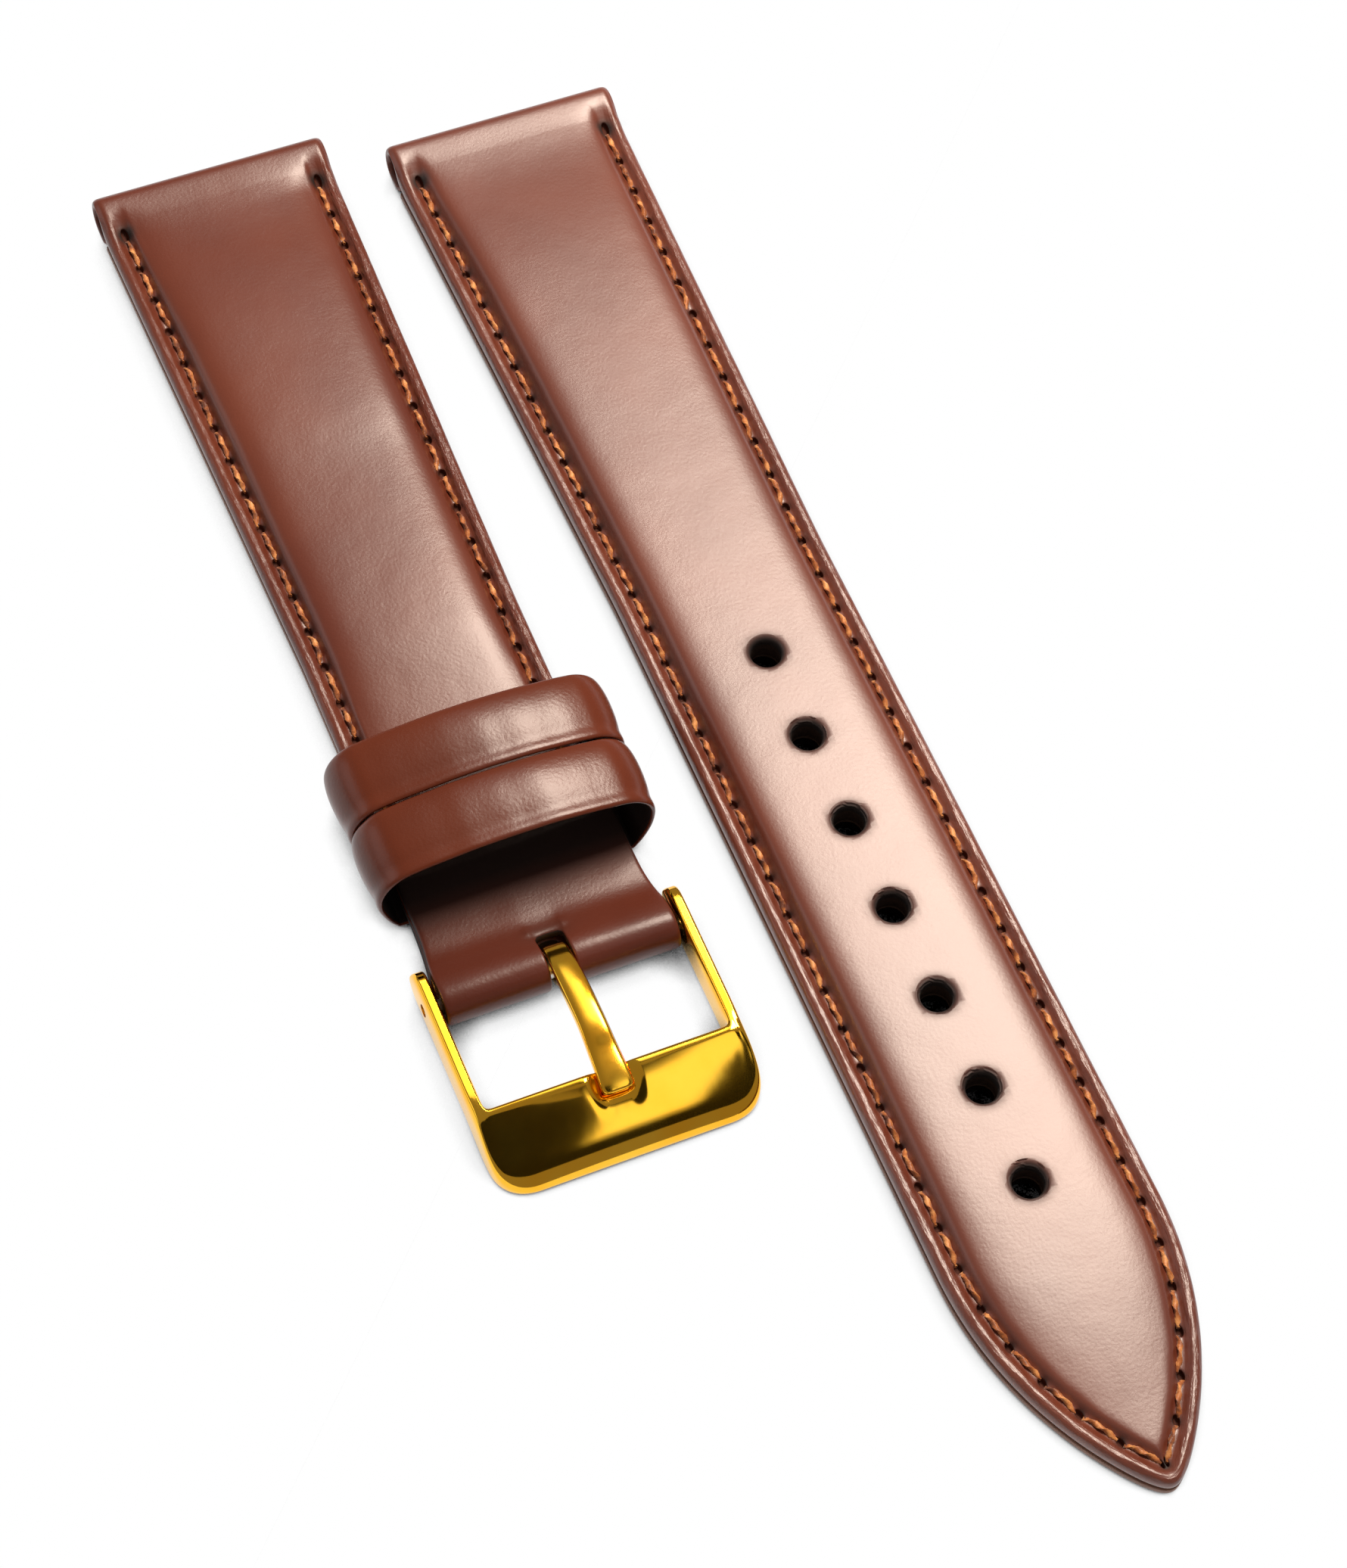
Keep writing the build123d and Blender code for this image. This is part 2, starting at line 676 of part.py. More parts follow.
def build_tongue():
    """Arched tongue on a collar that turns on the spring bar."""

    def at(shares):
        along, up = shares
        return (-bar_axis_at - along * tongue_reach, bar_axis_height + up * tongue_crest)

    tip_under = (-bar_axis_at - tongue_tip_under_share * tongue_reach, notch_floor + tongue_tip_rest)
    tip_nose = (-bar_axis_at - tongue_reach, tip_under[1] + tongue_tip_thickness / 2)
    tip_top = (
        -bar_axis_at - tongue_tip_top_share * tongue_reach,
        tip_under[1] + tongue_tip_thickness,
    )
    arch_top = at(tongue_arch_top_shares)
    kink_top = at(tongue_kink_top_shares)
    kink_under = at(tongue_kink_under_shares)
    arch_under = at(tongue_arch_under_shares)
    profile = [
        Edge.make_three_point_arc(at(tongue_back_shares), at(tongue_rise_top_shares), arch_top),
        Edge.make_three_point_arc(arch_top, at(tongue_crest_top_shares), kink_top),
        Edge.make_line(kink_top, tip_top),
        Edge.make_line(tip_top, tip_nose),
        Edge.make_line(tip_nose, tip_under),
        Edge.make_line(tip_under, kink_under),
        Edge.make_three_point_arc(kink_under, at(tongue_crest_under_shares), arch_under),
        Edge.make_three_point_arc(
            arch_under, at(tongue_rise_under_shares), at(tongue_root_under_shares)
        ),
        Edge.make_line(at(tongue_root_under_shares), at(tongue_back_shares)),
    ]
    blade_width = max(tongue_width, tongue_tip_width)
    side_view = Plane.YZ.offset(-blade_width / 2) * Face(Wire(profile))
    blade = extrude(side_view, blade_width, dir=(1, 0, 0))
    right = [
        (tongue_width / 2, -bar_axis_at + collar_radius),
        (tongue_width / 2, kink_top[0]),
        (tongue_tip_width / 2, tip_nose[0]),
    ]
    left = [(-x, y) for x, y in reversed(right)]
    plan = Face(Wire.make_polygon([*right, *left], close=True))
    blade = blade & extrude(plan, frame_top + overrun, dir=(0, 0, 1))
    collar = across(collar_radius, tongue_width, bar_axis_at, bar_axis_height)
    bore = across(bar_radius + collar_clearance, strap_width, bar_axis_at, bar_axis_height)
    return one(blade + collar - bore)


def build_spring_bar():
    """Sprung bar: a tube with a necked end each side, two pins and the spring between."""
    z = bar_axis_height
    shoulder = bar_half_length - bar_end_wall
    tube = across(bar_radius, 2 * bar_half_length, bar_axis_at, z)
    tube -= across(bar_bore_radius, 2 * shoulder, bar_axis_at, z)
    tube -= across(pin_radius + end_play, 2 * bar_half_length + overrun, bar_axis_at, z)
    piston_end = shoulder - end_play
    tip_end = leg_inner + pin_reach
    parts = {"spring_bar_tube": one(tube)}
    for name, side in (("spring_bar_pin_left", -1), ("spring_bar_pin_right", 1)):
        piston = Pos(side * (piston_end - piston_length / 2), 0, 0) * across(
            piston_radius, piston_length, bar_axis_at, z
        )
        stem_length = tip_end - piston_end + piston_length / 2
        stem = Pos(side * (tip_end - stem_length / 2), 0, 0) * across(
            pin_radius, stem_length, bar_axis_at, z
        )
        parts[name] = one(piston + stem)
    spring_length = 2 * (piston_end - piston_length - end_play)
    spring = across(spring_radius, spring_length, bar_axis_at, z)
    spring -= across(spring_bore_radius, spring_length + overrun, bar_axis_at, z)
    parts["spring_bar_spring"] = one(spring)
    return parts


def main():
    tail_place = Pos(x_tail, y_tail, 0)
    raised_place = Pos(x_short, y_short, short_base)
    floor_place = Pos(x_short, y_short, 0)
    placed = {}
    for name, part in build_tail().items():
        placed[name] = tail_place * part
    for name, part in build_short_layers().items():
        placed[name] = raised_place * part
    placed["buckle_tab"] = raised_place * build_tab()
    placed["fixed_keeper"] = floor_place * build_keeper(fixed_keeper_front, short_base)
    placed["free_keeper"] = floor_place * build_keeper(keeper_back - keeper_gap, keeper_bottom)
    placed["buckle_frame"] = floor_place * build_buckle_frame()
    placed["buckle_tongue"] = floor_place * build_tongue()
    for name, part in build_spring_bar().items():
        placed[name] = floor_place * part
    for name, part in placed.items():
        export_step(part, f"parts/{name}.step")
    print("strap centre lines at x", round(x_short, 3), round(x_tail, 3))
    print("watch ends at y", round(y_short, 3), round(y_tail, 3))
    print("buckle axis at y", round(y_short - bar_axis_at, 3), "z", bar_axis_height)
    print("tail point starts at", round(tip_start, 3))


main()
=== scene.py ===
# %% [markdown]
# # A leather watch strap, dressed for its portrait
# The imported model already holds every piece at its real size. This lesson gives the pieces
# their looks: soft padded leather with stitched edges, a polished gilt buckle, and light.
# Everything is in metres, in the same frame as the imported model, so nothing is ever fitted.

import math
from itertools import chain

import bpy
from mathutils import Matrix, Vector, kdtree, noise
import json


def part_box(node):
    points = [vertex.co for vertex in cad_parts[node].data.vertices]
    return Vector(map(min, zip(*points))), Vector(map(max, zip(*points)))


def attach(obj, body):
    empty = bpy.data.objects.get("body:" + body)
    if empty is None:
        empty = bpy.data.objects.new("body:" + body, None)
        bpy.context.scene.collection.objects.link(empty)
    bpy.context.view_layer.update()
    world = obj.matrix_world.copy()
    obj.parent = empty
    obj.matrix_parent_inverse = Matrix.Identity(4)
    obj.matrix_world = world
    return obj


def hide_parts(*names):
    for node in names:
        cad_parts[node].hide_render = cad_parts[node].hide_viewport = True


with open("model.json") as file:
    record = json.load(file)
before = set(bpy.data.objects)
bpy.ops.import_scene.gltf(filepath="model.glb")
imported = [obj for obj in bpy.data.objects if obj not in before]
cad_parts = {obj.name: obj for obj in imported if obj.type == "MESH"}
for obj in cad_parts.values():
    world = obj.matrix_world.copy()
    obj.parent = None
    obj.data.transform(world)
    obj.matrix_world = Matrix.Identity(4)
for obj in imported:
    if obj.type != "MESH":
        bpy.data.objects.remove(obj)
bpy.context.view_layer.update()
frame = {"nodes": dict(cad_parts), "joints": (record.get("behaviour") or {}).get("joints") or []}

# %% [markdown]
# ## Sizes
# Real straps are drawn in millimetres, so the lengths below are millimetres too, and `mm`
# turns them into metres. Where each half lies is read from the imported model. A place on a
# half is told by `s`, its distance from the end that meets the watch, and by how far it is
# from the middle or from the edge.

# %% Sizes and places
mm = 0.001
tail_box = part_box("tail_top_leather")
short_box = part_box("short_top_leather")
tail_x = (tail_box[0].x + tail_box[1].x) / 2
short_x = (short_box[0].x + short_box[1].x) / 2
tail_y = tail_box[1].y
short_y = short_box[1].y
hinge = next(joint for joint in frame["joints"] if joint["name"] == "buckle_frame_swing")
bar_s = (short_y - hinge["pos_m"][1]) / mm
bar_z = hinge["pos_m"][2] / mm
short_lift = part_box("short_lining")[0].z
# middle line, watch end and underside, in metres
tail_half = (tail_x, tail_y, 0.0)
short_half = (short_x, short_y, short_lift)
buckle_half = (short_x, short_y, 0.0)

lug_half_width = 9.0
strap_half_width = 8.0
crease_at = 3.4
taper_end = 44.0
tail_length = (tail_y - tail_box[0].y) / mm
tip_arc_radius = 26.5
tip_round_radius = 1.5
arc_centre = tip_arc_radius - strap_half_width
tip_round_at = tail_length - tip_round_radius
tip_start = tip_round_at - math.sqrt((tip_arc_radius - tip_round_radius) ** 2 - arc_centre**2)
short_length = (short_y - short_box[0].y) / mm
leather_thickness = 0.8
lining_top = 0.8
lining_play = 0.02
seam_inset = 1.45
first_stitch = 3.9
stitch_pitch = 3.1


def on_half(half, x, s, z):
    """The place in metres of a point in millimetres on a half."""
    centre_x, end_y, lift = half
    return centre_x + x * mm, end_y - s * mm, lift + z * mm


print("tail", round(tail_length, 2), "short", round(short_length, 2), "bar", round(bar_s, 2), bar_z)

# %% [markdown]
# ## The camera
# The photograph was taken close to the strap, from above and a little to the left. These
# values come from matching both halves' outlines and the holes to the picture.

# %% Camera
camera_at = Vector((-0.059922, -0.119135, 0.225532))
looks_at = Vector((0.002504, -0.00078, 0.0))
roll = math.radians(6.033)
lens = 86.841

bpy.ops.object.camera_add(location=camera_at)
camera = bpy.context.object
camera.name = "photo_camera"
back = (camera_at - looks_at).normalized()
right = (-back).cross(Vector((0, 0, 1))).normalized()
up = right.cross(-back)
across_axis = right * math.cos(roll) + up * math.sin(roll)
up_axis = up * math.cos(roll) - right * math.sin(roll)
turn = Matrix((across_axis, up_axis, back)).transposed()
camera.matrix_world = Matrix.Translation(camera_at) @ turn.to_4x4()
camera.data.lens = lens
camera.data.sensor_width = 36
camera.data.clip_start = 0.01
camera.data.clip_end = 20
bpy.context.scene.camera = camera
print("camera distance", round((camera_at - looks_at).length, 4))

# %% [markdown]
# ## A few habits
# Operators act on whatever is selected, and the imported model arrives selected. So each step
# starts by deselecting everything and picking one piece. Modifiers are applied at once, so
# each finished piece is a plain mesh.

# %% Helpers for operators
merge_gap = 0.00001
smooth_below = 60           # degrees between two faces


def deselect():
    bpy.ops.object.select_all(action="DESELECT")


def only(*pieces):
    """Select these pieces alone, the first of them active."""
    deselect()
    for piece in pieces:
        piece.select_set(True)
    bpy.context.view_layer.objects.active = pieces[0]


def named(name):
    """Give the primitive that was just added its name."""
    piece = bpy.context.object
    piece.name = name
    piece.data.name = name
    return piece


def modify(piece, kind, **settings):
    """Add a modifier and apply it."""
    only(piece)
    modifier = piece.modifiers.new(kind.lower(), kind)
    for key, value in settings.items():
        setattr(modifier, key, value)
    bpy.ops.object.modifier_apply(modifier=modifier.name)


def subdivide(piece, levels):
    modify(piece, "SUBSURF", levels=levels, render_levels=levels)


def cut(piece, cutter):
    """Cut with a cutter, which is then thrown away."""
    modify(piece, "BOOLEAN", object=cutter, operation="DIFFERENCE", solver="EXACT")
    bpy.data.objects.remove(cutter)


def join(name, pieces):
    only(*pieces)
    bpy.ops.object.join()
    return named(name)


def edit(piece):
    """Enter edit mode, where faces are picked."""
    only(piece)
    bpy.ops.object.mode_set(mode="EDIT")
    bpy.ops.mesh.select_mode(type="FACE")


def leave_edit():
    bpy.ops.object.mode_set(mode="OBJECT")


def select_faces(piece, wanted):
    """Enter edit mode with the faces selected that the test picks."""
    edit(piece)
    bpy.ops.mesh.select_all(action="DESELECT")
    leave_edit()
    for face in piece.data.polygons:
        face.select = wanted(face)
    bpy.ops.object.mode_set(mode="EDIT")


def turn_outwards():
    """In edit mode, turn all faces of the piece outwards, and leave."""
    bpy.ops.mesh.select_all(action="SELECT")
    bpy.ops.mesh.normals_make_consistent(inside=False)
    leave_edit()


def close_up(piece):
    """Merge doubles, close open borders and turn all faces outwards."""
    edit(piece)
    bpy.ops.mesh.select_all(action="SELECT")
    bpy.ops.mesh.remove_doubles(threshold=merge_gap)
    bpy.ops.mesh.select_all(action="DESELECT")
    bpy.ops.mesh.select_mode(type="EDGE")
    bpy.ops.mesh.select_non_manifold(
        use_multi_face=False, use_non_contiguous=False, use_verts=False
    )
    bpy.ops.mesh.edge_face_add()
    turn_outwards()


def grid_of(name, rows):
    """A grid whose points are moved to rows of places, all rows equally long."""
    deselect()
    bpy.ops.mesh.primitive_grid_add(
        x_subdivisions=len(rows[0]) - 1, y_subdivisions=len(rows) - 1, size=1
    )
    piece = named(name)
    for vertex, place in zip(piece.data.vertices, chain(*rows)):
        vertex.co = place
    return piece


def paint(piece, name, strength):
    """Give each point of a mesh a value that a material can read."""
    layer = piece.data.attributes.new(name, "FLOAT", "POINT").data
    for vertex in piece.data.vertices:
        layer[vertex.index].value = strength(vertex)


def held(value):
    return min(max(value, 0), 1)


def eased(value):
    """Held between 0 and 1, with a soft start and a soft end."""
    t = held(value)
    return t * t * (3 - 2 * t)


print("helpers ready")

# %% [markdown]
# ## Finishes
# Each finish is a small network of nodes on Object coordinates, so it needs no pictures.
# The leather is smooth and waxed. Its colour drifts a little from place to place, its gloss
# is soft, and a very fine grain keeps the reflections from looking like plastic.

# %% Material helpers
def feed(tree, node, inputs):
    """Fill a node's inputs by name or number: a socket is linked, a plain value is set."""
    for key, value in inputs.items():
        if isinstance(value, bpy.types.NodeSocket):
            tree.links.new(value, node.inputs[key])
        else:
            node.inputs[key].default_value = value


def add_node(tree, kind, inputs, **settings):
    """Add a node, fill its inputs and return its outputs."""
    node = tree.nodes.new("ShaderNode" + kind)
    for key, value in settings.items():
        setattr(node, key, value)
    feed(tree, node, inputs)
    return node.outputs


def new_finish(name):
    """An empty Principled material with its tree, shader and Object coordinates."""
    material = bpy.data.materials.new(name)
    material.use_nodes = True
    tree = material.node_tree
    place = add_node(tree, "TexCoord", {})["Object"]
    return material, tree, tree.nodes["Principled BSDF"], place


def noise_at(tree, source, scale, detail):
    return add_node(tree, "TexNoise", {"Vector": source, "Scale": scale, "Detail": detail})["Fac"]


def ramp(tree, source, *stops):
    """A colour ramp from (position, colour) pairs."""
    node = tree.nodes.new("ShaderNodeValToRGB")
    while len(node.color_ramp.elements) < len(stops):
        node.color_ramp.elements.new(0.5)
    for element, (position, colour) in zip(node.color_ramp.elements, stops):
        element.position = position
        element.color = (*colour, 1)
    feed(tree, node, {"Fac": source})
    return node.outputs["Color"]


def two_tones(dark, light):
    """Stops of a ramp that wanders between two colours."""
    return (0.3, dark), (0.7, light)


def bump(tree, shader, source, height, before=None):
    """Chain a bump of the given height in metres."""
    inputs = {"Height": source, "Distance": height}
    if before:
        inputs["Normal"] = before
    normal = add_node(tree, "Bump", inputs)["Normal"]
    feed(tree, shader, {"Normal": normal})
    return normal


print("material helpers ready")

# %% Leather
colour_drift = (70, 3)      # scale and detail of a noise
swell = (210, 2, 0.00006)   # and the height in metres of the bump that it makes
grain = (4200, 3, 0.000012)
folds = (2.6, 3, 0.00024)
fold_stretch = (1.0, 0.2, 1.0)
coat_roughness = 0.26
gathered_roughness = 0.34
burnish_and_shade_dullness = 0.4
# the darkest colour of burnish and of painted shade, at hole rims and on the tab
burnished_and_shaded_colour = (0.012, 0.004, 0.002, 1)


def ripple(tree, shader, place, ripples, before=None):
    """Bump made by a noise of the given scale, detail and height."""
    return bump(tree, shader, noise_at(tree, place, *ripples[:2]), ripples[2], before)


def make_leather(name, dark, light, roughness, ior=1.65, coat=0.25, worked=False):
    """Smooth waxed leather. Worked leather reads two attributes: where it is gathered at an
    edge it is creased and glossier, and where it is burnished at a hole or painted with shade,
    it is darker."""
    material, tree, shader, place = new_finish(name)
    tone = ramp(tree, noise_at(tree, place, *colour_drift), *two_tones(dark, light))
    feed(tree, shader, {"Base Color": tone, "Roughness": roughness, "IOR": ior})
    feed(tree, shader, {"Coat Weight": coat, "Coat Roughness": coat_roughness})
    normal = ripple(tree, shader, place, grain, ripple(tree, shader, place, swell))
    if worked:
        gathers = add_node(tree, "Attribute", {}, attribute_name="gathers")["Fac"]
        burnish_and_shade = add_node(tree, "Attribute", {}, attribute_name="burnish_and_shade")["Fac"]
        uv = add_node(tree, "UVMap", {})["UV"]
        stretched = add_node(tree, "Mapping", {"Vector": uv, "Scale": fold_stretch})["Vector"]
        masked = {0: noise_at(tree, stretched, *folds[:2]), 1: gathers}
        masked = add_node(tree, "Math", masked, operation="MULTIPLY")["Value"]
        bump(tree, shader, masked, folds[2], normal)
        gloss = {"Value": gathers, "To Min": roughness, "To Max": gathered_roughness}
        gloss = add_node(tree, "MapRange", gloss)["Result"]
        duller = {0: burnish_and_shade, 1: burnish_and_shade_dullness, 2: gloss}
        duller = add_node(tree, "Math", duller, operation="MULTIPLY_ADD")["Value"]
        darker = {0: burnish_and_shade, 6: tone, 7: burnished_and_shaded_colour}
        darker = add_node(tree, "Mix", darker, data_type="RGBA")[2]
        feed(tree, shader, {"Roughness": duller, "Base Color": darker})
    return material


top_leather = make_leather(
    "waxed_leather", (0.13, 0.027, 0.013), (0.18, 0.042, 0.02), 0.38, worked=True
)
# the tail's leather set a little darker, painted shade on the short half, with its own gloss
shaded_short_leather = make_leather(
    "waxed_leather_short_shaded", (0.118, 0.024, 0.012), (0.163, 0.038, 0.018), 0.33, 1.5, 0.15, True
)
keeper_leather = make_leather(
    "glossy_leather", (0.11, 0.02, 0.006), (0.16, 0.031, 0.01), 0.28, 1.42, 0.03
)
tab_leather = make_leather(
    "plain_leather", (0.095, 0.02, 0.01), (0.135, 0.03, 0.015), 0.32, 1.42, 0.05, True
)
lining_leather = make_leather("soft_lining", (0.16, 0.06, 0.03), (0.23, 0.095, 0.05), 0.6)
cut_edge_and_shade, pit_shade, hole_shade = (
    make_leather(name, dark, light, 0.7, ior, 0.0)
    for name, dark, light, ior in (
        ("cut_edge_and_shade", (0.008, 0.003, 0.002), (0.022, 0.008, 0.005), 1.4),
        ("pit_shade", (0.05, 0.012, 0.005), (0.09, 0.02, 0.009), 1.3),
        ("hole_shade", (0.005, 0.002, 0.001), (0.012, 0.003, 0.002), 1.3),
    )
)
print("leathers", [m.name for m in (top_leather, keeper_leather, tab_leather, lining_leather)])

# %% Thread, metal and hidden cloth
def make_plain(name, drift, stops, shine, ripples, others):
    """A finish whose colour and roughness wander with one noise, while another ripples its
    surface. Others are more inputs of the shader."""
    material, tree, shader, place = new_finish(name)
    haze = noise_at(tree, place, *drift)
    shine = {"Value": haze, "To Min": shine[0], "To Max": shine[1]}
    shine = add_node(tree, "MapRange", shine)["Result"]
    feed(tree, shader, {"Base Color": ramp(tree, haze, *stops), "Roughness": shine, **others})
    if ripples:
        ripple(tree, shader, place, ripples)
    return material


metal = {"Metallic": 1.0}
# waxed twisted thread, its colour wandering at random from a dark tan, a painted shade, to a
# bright orange, a painted highlight
thread_shade_and_highlight = (0.36, (0.15, 0.035, 0.008)), (0.5, (0.5, 0.15, 0.03)), (0.64, (0.85, 0.38, 0.12))
waxed = {"Sheen Weight": 0.3}
thread = make_plain("thread", (1100, 4), thread_shade_and_highlight, (0.45, 0.45), (9000, 2, 0.00003), waxed)
# gold-coloured plating with the faint waves of hand polishing, dulled where the strap rubs it
plating = two_tones((1.0, 0.5, 0.03), (1.0, 0.58, 0.05))
gilt, rubbed_gilt = (
    make_plain(name, (300, 4), plating, shine, (330, 2, 0.000007), metal)
    for name, shine in (("gilt", (0.04, 0.1)), ("rubbed_gilt", (0.1, 0.16)))
)
plain_metal = two_tones((0.42, 0.41, 0.4), (0.6, 0.59, 0.57))
steel = make_plain("steel", (900, 3), plain_metal, (0.3, 0.3), None, metal)
# hidden inside the strap, but seen at the walls of the holes
felt, tape_cloth = (
    make_plain(name, (3000, 4), two_tones(dark, light), (0.9, 0.9), (3000, 4, 0.00005), {})
    for name, dark, light in (
        ("felt", (0.03, 0.014, 0.008), (0.06, 0.028, 0.015)),
        ("tape_cloth", (0.1, 0.06, 0.04), (0.16, 0.1, 0.07)),
    )
)
plain_nodes = {
    "tail_padding": felt,
    "short_padding": felt,
    "tail_stretch_tape": tape_cloth,
    "short_stretch_tape": tape_cloth,
    "spring_bar_tube": steel,
    "spring_bar_pin_left": steel,
    "spring_bar_pin_right": steel,
    "spring_bar_spring": steel,
}
for name, finish in plain_nodes.items():
    frame["nodes"][name].material_slots[0].material = finish
print("thread, gilt, steel and hidden cloth ready")

# %% [markdown]
# ## The plan of each half
# Seen from above, the edge, the stitch line and every line between them run side by side and
# turn the pointed tip together. A line at a given inset from the edge has a straight run,
# then an arc about a far centre, and near the very tip a small arc that blunts the point.
# A row tells how far along a place is: first by `s`, and in the tip by a share from 0 to 1.

# %% Plan functions
def half_width(s):
    share = held((s - crease_at) / (taper_end - crease_at))
    return lug_half_width + share * (strap_half_width - lug_half_width)


def tip_angle(inset):
    """Angle at which the arc at this inset reaches the middle of the strap."""
    return math.acos(arc_centre / (tip_arc_radius - inset))


def tip_point(inset, share):
    """Half breadth and s of a place on the pointed tip."""
    radius = tip_arc_radius - inset
    small = tip_round_radius - inset
    angle = share * tip_angle(inset)
    if small > 0:
        touch = math.atan2(tip_round_at - tip_start, arc_centre)
        long_run = radius * touch
        run = share * (long_run + small * (math.pi / 2 - touch))
        if run > long_run:
            angle = touch + (run - long_run) / small
            return small * math.cos(angle), tip_round_at + small * math.sin(angle)
        angle = run / radius
    return radius * math.cos(angle) - arc_centre, tip_start + radius * math.sin(angle)


def plan_point(inset, row):
    s, share = row
    if share > 0:
        return tip_point(inset, share)
    return half_width(s) - inset, s


seam_straight = tip_start - first_stitch
seam_tip_run = (tip_arc_radius - seam_inset) * tip_angle(seam_inset)


def row_at(run, pointed):
    """The row at a run along the stitch line, counted from its first hole."""
    if not pointed or run <= seam_straight:
        return first_stitch + run, 0.0
    return tip_start, min((run - seam_straight) / seam_tip_run, 1.0)


def count_stitches(length, pointed):
    """One side's seam: its length, its number of stitches, and whether it turns the tip."""
    return length, round(length / stitch_pitch), pointed


tail_seam = count_stitches(seam_straight + seam_tip_run, True)
short_seam = count_stitches(short_length - first_stitch, False)
print("stitches a side", tail_seam[1], short_seam[1])

# %% Rows and heights
hole_half = 0.45            # half of a needle hole's face along the seam
first_hole_share = 1.3      # the first hole of a row is longer
least_row = 0.05            # rows nearer to the last one than this are left out


def seam_rows(seam):
    """Rows for each needle hole's two sides and the middle of each stitch."""
    length, count, pointed = seam
    pitch = length / count
    runs = []
    for number in range(count + 1):
        at = number * pitch
        half = hole_half * (1 if number else first_hole_share)
        runs += [at - half, at + half, at + pitch / 2]
    last = length if pointed else length - hole_half
    runs = [run for run in runs if run < last - least_row] + [length]
    return [row_at(run, pointed) for run in runs]


# distance from the watch end, edge height, crown height
lug_heights = [(0.9, 2.08, 3.03), (1.5, 2.08, 2.985), (2.2, 2.08, 2.905), (3.0, 2.08, 2.82)]
lug_heights += [(4.0, 2.08, 2.76), (5.2, 2.08, 2.745), (6.6, 2.08, 2.79), (8.2, 2.08, 2.9)]
lug_heights += [(11.0, 2.08, 3.12), (14.5, 2.08, 3.3), (19.0, 2.08, 3.37), (25.0, 2.08, 3.35)]
tail_heights = [*lug_heights, (taper_end, 2.08, 3.18), (84.0, 2.07, 2.9), (95.0, 2.06, 2.76)]
tail_heights += [(102.0, 2.05, 2.62), (108.0, 2.04, 2.4), (113.0, 2.04, 2.18)]
tail_heights += [(tail_length, 2.04, 2.07)]
short_heights = [*lug_heights, (30.0, 2.0, 3.1), (taper_end, 1.9, 2.8)]
short_heights += [(50.0, 1.75, 2.2), (60.0, 1.6, 1.7)]


def heights_at(table, s):
    """Edge and crown height on a smooth curve through the stations."""
    last = len(table) - 1
    if s <= table[0][0] or s >= table[last][0]:
        return table[0 if s <= table[0][0] else last][1:]
    n = max(i for i in range(last) if table[i][0] <= s)
    run = table[n + 1][0] - table[n][0]
    t = (s - table[n][0]) / run
    values = []
    for k in (1, 2):
        slopes = []
        for i in (n, n + 1):
            before, after = table[max(i - 1, 0)], table[min(i + 1, last)]
            slopes.append(run * (after[k] - before[k]) / (after[0] - before[0]))
        start, end = table[n][k], table[n + 1][k]
        values.append(
            (2 * t**3 - 3 * t**2 + 1) * start
            + (t**3 - 2 * t**2 + t) * slopes[0]
            + (3 * t**2 - 2 * t**3) * end
            + (t**3 - t**2) * slopes[1]
        )
    return tuple(values)


channel_end = 1.9           # inset where the padded crown starts
arch_blur = 0.8             # how softly the two sides' arches meet
crown_squareness = 7.8      # 2 is a plain arch, more is flatter with rounder shoulders
tip_squareness = 3.6
tip_lead = 8                # the crown starts to lose its squareness this far before the tip
full_crown = 1.1            # how far the crown stands above the edge where it is thickest


def padded_height(x, s, edge, crown):
    """Height of the padded crown: one even arch between the channels."""
    if s <= tip_start:
        insets = (half_width(s) - x, half_width(s) + x)
    else:
        insets = [
            tip_arc_radius - math.hypot(side * x + arc_centre, s - tip_start) for side in (1, -1)
        ]
    inset = -arch_blur * math.log(sum(math.exp(-value / arch_blur) for value in insets))
    lip = edge + (crown - edge) / 2
    span = strap_half_width - arch_blur * math.log(2) - channel_end
    share = held((inset - channel_end) / span)
    in_tip = held((s - tip_start + tip_lead) / (tail_length - tip_start))
    squareness = crown_squareness + in_tip * (tip_squareness - crown_squareness)
    return lip + (crown - lip) * (1 - (1 - share) ** squareness)


print("rows along the tail", len(seam_rows(tail_seam)))

# %% [markdown]
# ## The padded leather
# Each half is one skin of leather. It starts under the watch end, turns round the tunnel for
# the watch's spring bar, dips at the crease, and then runs on as a padded crown between two
# stitched channels with a rounded bead outside them. A grid is the natural start: its
# columns become the lines that run along the strap, its rows go across. Wrapping the grid
# right round gives the skin its inside, 0.8 mm below, so it is leather and not a block.

# %% The skin's columns and tunnel rows
# inset from the edge, height from the edge bead's top, share through the wall at the tunnel
skin_rings = [
    (0.75, None, 1.0),
    (0.05, None, 0.96),
    (0.0, -0.66, 0.5),
    (0.08, -0.27, 0.14),
    (0.38, 0.0, 0.0),
    (0.78, -0.02, 0.0),
    (1.1, -0.36, 0.0),
    (1.72, -0.4, 0.0),
    (1.98, 0.3, 0.0),
]
wall_rings = 4              # so many rings belong to the outer wall
channel_ring = 6            # the needle holes lie between this ring and the next
lip_rings = (4, 5, 8)
gathered_rings = range(1, 6)
crown_insets = (2.35, 2.8, 3.4, 4.2, 5.6)
inner_insets = (4.6, 2.4)
tunnel_radius = 1.5
bore_radius = 0.95
hump_start = 1.8            # between these two the hump's plain ends
hump_end = 4.6              # turn into the stitched edge


